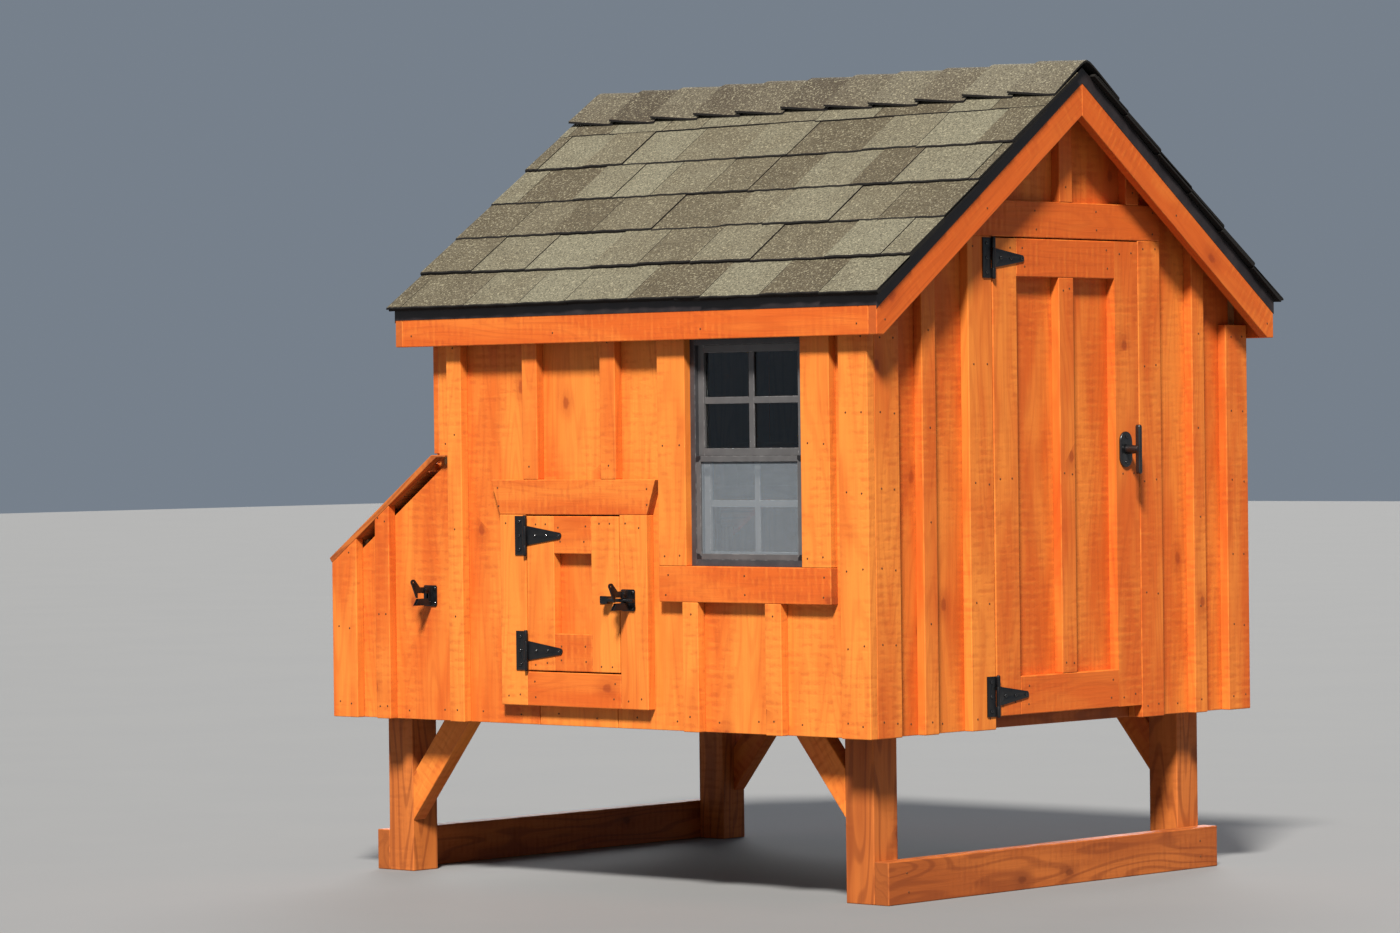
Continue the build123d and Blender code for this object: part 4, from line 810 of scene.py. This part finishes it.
# Each cap is bent over the ridge and lifts a little at the end that shows.
cap_ends = sorted(corners_of(rings) for rings in solids_of("ridge_caps"))[::2]
hair = 0.001
heel = [p for p in cap_ends[0] if p[0] > cap_ends[0][-1][0] - hair]
cap_reach = max(abs(p[1]) for p in heel)
ridge_z = min(p[2] for p in heel if abs(p[1]) < hair)
fall = (ridge_z - min(p[2] for p in heel)) / cap_reach
cap_length, cap_thickness, cap_lap = 0.142, 0.0045, 0.85
cap_bed, butt_lift, wing_lift = 0.0015, 0.0045, 0.0065
crown_rise, crown_round = 0.009, 0.008
first_inset, cap_stray, reach_stray = 0.004, 0.006, (0.001, 0.008)
first_cap_tone, cap_tone_step = 0.3, (0.2, 0.5)
stations = np.linspace(0.0, 1.0, 9)
folds = np.linspace(-1.0, 1.0, 21)
deep, wide = len(stations), len(folds)
luck = random.Random("caps")
points, faces, board, cut = [], [], [], []
tone = first_cap_tone
for number, cap in enumerate(cap_ends):
    start = cap[0][0] + (first_inset if number == 0 else luck.uniform(0.0, cap_stray))
    end = min(cap[0][0] + cap_length, cap[-1][0])
    reach = [cap_reach - luck.uniform(*reach_stray) for _ in range(2)]
    tone = (tone + luck.choice((-1, 1)) * luck.uniform(*cap_tone_step)) % 1.0
    first = len(points)
    for thick in (0.0, cap_thickness):
        for along in stations:
            for fold in folds:
                y = fold * reach[int(fold > 0)]
                lift = (butt_lift + wing_lift * fold * fold) * max(0.0, 1.0 - along / cap_lap) + cap_bed
                crown = crown_rise * (1.0 - abs(fold)) - math.hypot(y * fall, crown_round)
                points.append((start + (end - start) * along, y, ridge_z + crown + lift + thick))
                board.append(tone)
    top = first + wide * deep
    for row in range(deep - 1):
        for column in range(wide - 1):
            a = row * wide + column
            faces.append([top + i for i in (a, a + wide, a + wide + 1, a + 1)])
            faces.append([first + i for i in (a, a + 1, a + wide + 1, a + wide)])
            cut += [0.0, 1.0]
    rim = []
    for column in range(wide - 1):
        heel_edge = (deep - 1) * wide + column
        rim += [(column + 1, column), (heel_edge, heel_edge + 1)]
    for row in range(deep - 1):
        rim += [(row * wide, (row + 1) * wide), ((row + 2) * wide - 1, (row + 1) * wide - 1)]
    for a, b in rim:
        faces.append([first + a, first + b, top + b, top + a])
        cut.append(1.0)
folded = mesh_of("ridge_caps.folded", points, faces, cap_granules)
marked(folded.data, "board", "FLOAT", "POINT", board)
marked(folded.data, "cut", "FLOAT", "FACE", cut)
smoothed(folded.data)
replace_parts(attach(folded, "coop"), "ridge_caps")


# Service door in the gable.
# Upright boards are framed by stiles, rails and a centre batten nailed on the face; the door hangs on two
# black T hinges and closes by a cast T handle whose spindle turns a cam behind the jamb.
jet, worn_jet = (0.004, 0.004, 0.0048, 1), (0.011, 0.0106, 0.0112, 1)
black_iron = coated_finish("black iron coat", jet, worn_jet, rough=0.28, fleck=900.0, sheen=0.42)
cast_black = coated_finish("cast black coat", jet, worn_jet, rough=0.32, fleck=900.0, sheen=0.7)
dressed("service_trim", "coop", stain, trim_easing)
dressed(
    "service_door_boards", "service_door", stain, board_easing,
    lengthwise=upright, soak=-0.15, bare_back=True,
)
dressed("service_door_frame", "service_door", stain, trim_easing, soak=0.15)
for node, body, finish, easing in (
    ("service_hinge_straps", "service_door", black_iron, 0.0007),
    ("handle_rose", "service_door", cast_black, 0.0016),
    ("door_handle", "handle", cast_black, 0.0012),
    ("handle_cam", "handle", black_iron, 0.0008),
):
    dressed(node, body, finish, easing, smooth=True)


# Pop door in the front wall.
# A small framed board door for the hens hangs on two T hinges inside stained trim with a splayed header; a
# strike bar drops into a gravity latch, and a second latch on the nest side holds the door open.
dressed("pop_trim", "coop", stain, trim_easing, soak=0.15)
dressed(
    "pop_door_board", "pop_door", stain, board_easing,
    lengthwise=upright, bare_back=True,
)
dressed("pop_door_frame", "pop_door", stain, stud_easing)
for node, body, easing in (
    ("pop_hinge_straps", "pop_door", 0.0007),
    ("strike_bar", "pop_door", 0.0006),
    ("hinge_plates", "coop", 0.0007),
    ("pins", "coop", 0.0004),
    ("latch_pins", "coop", 0.0004),
    ("latch_bodies", "coop", 0.0007),
    ("pop_latch_dog", "latch_dog", 0.0007),
    ("hold_open_dog", "hold_dog", 0.0007),
):
    dressed(node, body, black_iron, easing, smooth=True)


# Nest box and its lid.
# A boarded box hangs on the end wall with four nests inside; its sloping lid of boards and cleats lifts on
# two butt hinges screwed to a ledger.
divider_easing, leaf_easing = 0.0012, 0.0006
dressed("nest_frame", "coop", bare_timber, stud_easing)
dressed("nest_dividers", "coop", sheet_timber, divider_easing)
dressed(
    "nest_boards", "coop", stain, board_easing,
    lengthwise=upright, soak=0.32, bare_back=True,
)
dressed("nest_trim", "coop", stain, trim_easing, lengthwise=upright, soak=0.45)
dressed("lid_ledger", "coop", stain, trim_easing)
# The browner stain also paints the lid's underside dark as the shade of the slot beneath it.
dressed("nest_lid", "lid", browner_stain_and_shade, stud_easing, soak=-0.30)
dressed("lid_hinge_leaves", "lid", black_iron, leaf_easing, smooth=True)


# Roosts.
# Square bars with well eased edges rest on cleats inside, for the hens to perch on; they are bare sawn
# timber, nailed down.
perch_easing = 0.003
dressed("roosts", "coop", bare_timber, perch_easing)


# Hinge and latch screws.
# Black pan-head screws with a cross recess hold the hinges, latches and handle plate to the boards. The
# head below is drawn with a radius of one and its top at zero.
head_seat, head_side, head_brow, brow_share = -0.55, -0.30, -0.04, 0.78
arm, web, pit_share, pit_depth = 0.52, 0.13, 0.8, -0.26
head_sides = 16
plus = [
    (arm, -web), (arm, web), (web, web), (web, arm), (-web, arm), (-web, web),
    (-arm, web), (-arm, -web), (-web, -web), (-web, -arm), (web, -arm), (web, -web),
]
screw_shape = bmesh.new()
angles = np.linspace(0, math.tau, head_sides + 1)[:-1]
girth = [screw_shape.verts.new((math.cos(a), math.sin(a), head_side)) for a in angles]
seat = [screw_shape.verts.new((v.co.x, v.co.y, head_seat)) for v in girth]
brow = [screw_shape.verts.new((v.co.x * brow_share, v.co.y * brow_share, head_brow)) for v in girth]
lip = [screw_shape.verts.new((x, y, 0.0)) for x, y in plus]
pit = [screw_shape.verts.new((x * pit_share, y * pit_share, pit_depth)) for x, y in plus]
for under, over in ((seat, girth), (girth, brow), (lip, pit)):
    for number in range(len(under)):
        after = (number + 1) % len(under)
        screw_shape.faces.new((under[number], under[after], over[after], over[number]))
screw_shape.faces.new(seat[::-1])
screw_shape.faces.new(pit)
bound = [screw_shape.edges.get((ring[i], ring[i - 1])) for ring in (brow, lip) for i in range(len(ring))]
bmesh.ops.triangle_fill(screw_shape, use_beauty=True, edges=bound)
bmesh.ops.recalc_face_normals(screw_shape, faces=screw_shape.faces)
screw_mesh = bpy.data.meshes.new("cross-head screw")
screw_shape.to_mesh(screw_mesh)
screw_shape.free()
screw = bpy.data.objects.new("cross-head screw", screw_mesh)
screw_black = coated_finish("screw black", jet, worn_jet, rough=0.10, fleck=900.0, sheen=0.9)

for body, nodes in (
    ("coop", ["house_screws", "latch_screws"]),
    ("service_door", ["service_door_screws"]),
    ("pop_door", ["pop_door_screws"]),
    ("lid", ["lid_screws"]),
):
    spots, turns, sizes = [], [], []
    for rings in (rings for node in nodes for rings in solids_of(node)):
        cloud = np.array(corners_of(rings))
        centre = (cloud.min(0) + cloud.max(0)) / 2
        axis = np.linalg.eigh(np.cov((cloud - cloud.mean(0)).T))[1][:, -1]
        along = (cloud - centre) @ axis
        radius = np.linalg.norm(cloud - centre - along[:, None] * axis, axis=1)
        if along[radius.argmax()] < 0:
            axis, along = -axis, -along
        spots.append(centre + axis * along.max())
        turns.append(Vector(axis).to_track_quat("Z", "Y").to_euler())
        sizes.append([radius.max()] * 3)
    driven = with_nodes(
        body + ".screws",
        stamp_tree,
        spots,
        {"Shape": screw, "Scale": 1.0, "Spin": math.pi, "Seed": 3, "Finish": screw_black},
        body,
        {"turn": ("FLOAT_VECTOR", turns), "size": ("FLOAT_VECTOR", sizes)},
    )
    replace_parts(driven, *nodes)


# Nails.
# Small dark nail heads, driven nearly flush, hold the battens in single rows and the trims and frames in
# pairs. The list gives their spacing, their places across half a board and their distance from its ends.
nail_tree, sheet, given = tree_with(
    "nail heads",
    {"Head Radius": "Float", "Head Height": "Float", "Lean": "Float", "Seed": "Int", "Finish": "Material"},
)
head_taper, head_sink = 0.7, 0.35
most, least = given["Lean"], given["Lean"] * -1.0
lean = sheet.node(
    "FunctionNodeRandomValue",
    {"data_type": "FLOAT_VECTOR"},
    {
        0: sheet.node("ShaderNodeCombineXYZ", {}, {0: least, 1: least}),
        1: sheet.node("ShaderNodeCombineXYZ", {}, {0: most, 1: most}),
        "Seed": given["Seed"],
    },
)
head = sheet.node(
    "GeometryNodeMeshCone",
    {"fill_type": "NGON"},
    {
        "Vertices": 10,
        "Radius Top": given["Head Radius"] * head_taper,
        "Radius Bottom": given["Head Radius"],
        "Depth": given["Head Height"],
    },
)
sink = sheet.node("ShaderNodeCombineXYZ", {}, {2: given["Head Height"] * -head_sink})
sunk = sheet.node("GeometryNodeTransform", {}, {"Geometry": head, "Translation": sink})
leaning = turned(sheet, on_points(sheet, "turn"), lean)
nailed = sheet.node(
    "GeometryNodeInstanceOnPoints", {}, {"Points": given["Points"], "Instance": sunk, "Rotation": leaning}
)
closed_off(sheet, nailed, given["Finish"])

ends_only = 2.0
nail_rows = {
    "battens": (0.19, (0.0,), 0.030),
    "corner_boards": (0.17, (-0.55, 0.55), 0.030),
    "front_siding": (ends_only, (-0.5, 0.5), 0.022),
    "rear_siding": (ends_only, (-0.5, 0.5), 0.022),
    "door_wall_siding": (ends_only, (-0.5, 0.5), 0.022),
    "nest_wall_siding": (ends_only, (-0.5, 0.5), 0.022),
    "window_trim": (0.20, (-0.55, 0.55), 0.022),
    "service_trim": (0.24, (-0.55, 0.55), 0.022),
    "pop_trim": (0.30, (-0.5, 0.5), 0.022),
    "fascia_boards": (0.40, (-0.45, 0.45), 0.030),
    "rake_boards": (0.38, (-0.45, 0.45), 0.040),
    "nest_boards": (ends_only, (-0.5, 0.5), 0.022),
    "nest_trim": (0.17, (-0.45, 0.45), 0.030),
    "runners": (ends_only, (-0.4, 0.4), 0.060),
    "service_door_frame": (0.42, (-0.5, 0.5), 0.024),
    "pop_door_frame": (ends_only, (-0.4, 0.4), 0.016),
    "nest_lid": (0.30, (-0.5, 0.5), 0.022),
}
riders = {"service_door_frame": "service_door", "pop_door_frame": "pop_door", "nest_lid": "lid"}
stray_along, stray_across = 0.005, 0.003
clear_of_wall, flush, squarely = 0.3, 0.001, 0.95
driven = {}
luck = random.Random(11)
for node, (spacing, across, margin) in nail_rows.items():
    spots, turns = driven.setdefault(riders.get(node, "coop"), ([], []))
    for middle, run, wide, out, half, surface in laid[node]:
        gaps = max(1, round((2 * half[0] - 2 * margin) / spacing))
        for number in range(gaps + 1):
            for share in across:
                along = (half[0] - margin) * (2 * number / gaps - 1)
                along += luck.uniform(-stray_along, stray_along)
                side = half[1] * share + luck.uniform(-stray_across, stray_across)
                above = middle + run * along + wide * side + out * clear_of_wall
                hit, facing, _, _ = surface.ray_cast(above, -out, 2 * clear_of_wall)
                if hit is None or facing.dot(out) < squarely:
                    continue
                if abs((hit - middle).dot(out) - half[2]) > flush:
                    continue
                spots.append(hit)
                turns.append(out.to_track_quat("Z", "Y").to_euler())
nail_steel = coated_finish(
    "dark nail steel", (0.090, 0.030, 0.010, 1), (0.170, 0.060, 0.016, 1),
    rough=0.6, fleck=500.0, sheen=0.25,
)
for body, (spots, turns) in driven.items():
    with_nodes(
        body + ".nails",
        nail_tree,
        spots,
        {"Head Radius": 0.0025, "Head Height": 0.0012, "Lean": 0.10, "Seed": 5, "Finish": nail_steel},
        body,
        {"turn": ("FLOAT_VECTOR", turns)},
    )


# Studio.
# A plain pale floor, one large soft key light from the front as high as the noon sun of spring, a weak wide
# light from behind for the far sides, and an even pale surround that fills the shade.
pale_floor, sheet, shader = new_finish("pale floor")
plain_grey, scuffed_grey = (0.193, 0.193, 0.192, 1), (0.200, 0.200, 0.198, 1)
scuff = cloudy(sheet, in_place(sheet), (1.5, 1.5, 1.5), detail=4.0, rough=0.6)
glazed(ramped(scuff, 0.3, 0.7), plain_grey, scuffed_grey).feed(shader, "Base Color")
(0.85 + scuff * 0.1).feed(shader, "Roughness")
shader.inputs["Specular IOR Level"].default_value = 0.1
ground_z, ground_reach = cad_box[0].z, 40
ground = mesh_of(
    "floor",
    [(x * ground_reach, y * ground_reach, ground_z) for x, y in ((-1, -1), (1, -1), (1, 1), (-1, 1))],
    [(0, 1, 2, 3)],
    pale_floor,
)

for name, energy, spread, colour, heading in (
    ("key light", 7.4, 9, (1.0, 0.97, 0.92), (-0.62, 0.91, -1.18)),
    ("back light", 1.5, 30, (0.95, 0.97, 1.0), (0.60, -0.80, -0.45)),
):
    light = placed(name, bpy.data.lights.new(name, "SUN"))
    light.data.energy = energy
    light.data.angle = math.radians(spread)
    light.data.color = colour
    light.rotation_euler = Vector(heading).to_track_quat("-Z", "Y").to_euler()
surround = bpy.data.worlds.new("surround")
surround.use_nodes = True
glow = surround.node_tree.nodes["Background"]
glow.inputs["Color"].default_value = (0.70, 0.83, 1.0, 1)
glow.inputs["Strength"].default_value = 0.26
bpy.context.scene.world = surround
bpy.context.scene.view_settings.view_transform = "Standard"


# Camera.
# It stands where the photograph was taken from, a little above the floor of the coop, on a long lens, and
# is turned and tipped to the photograph's own view.
stand = (7.23765, -8.26803, 0.98479)
yaw, tip, roll = 0.738610, 0.008358, -0.011688
ahead = Vector((-math.sin(yaw) * math.cos(tip), math.cos(yaw) * math.cos(tip), -math.sin(tip)))
right = Vector((math.cos(yaw), math.sin(yaw), 0))
above = right.cross(ahead)
view = placed("camera", bpy.data.cameras.new("camera"))
view.data.lens = 127.54
view.data.sensor_width = 36.0
view.data.sensor_fit = "HORIZONTAL"
view.data.clip_end = 200.0
view.matrix_world = (
    Matrix.Translation(stand)
    @ Matrix((right, above, -ahead)).transposed().to_4x4()
    @ Matrix.Rotation(roll, 4, "Z")
)
bpy.context.scene.camera = view

bpy.context.view_layer.update()
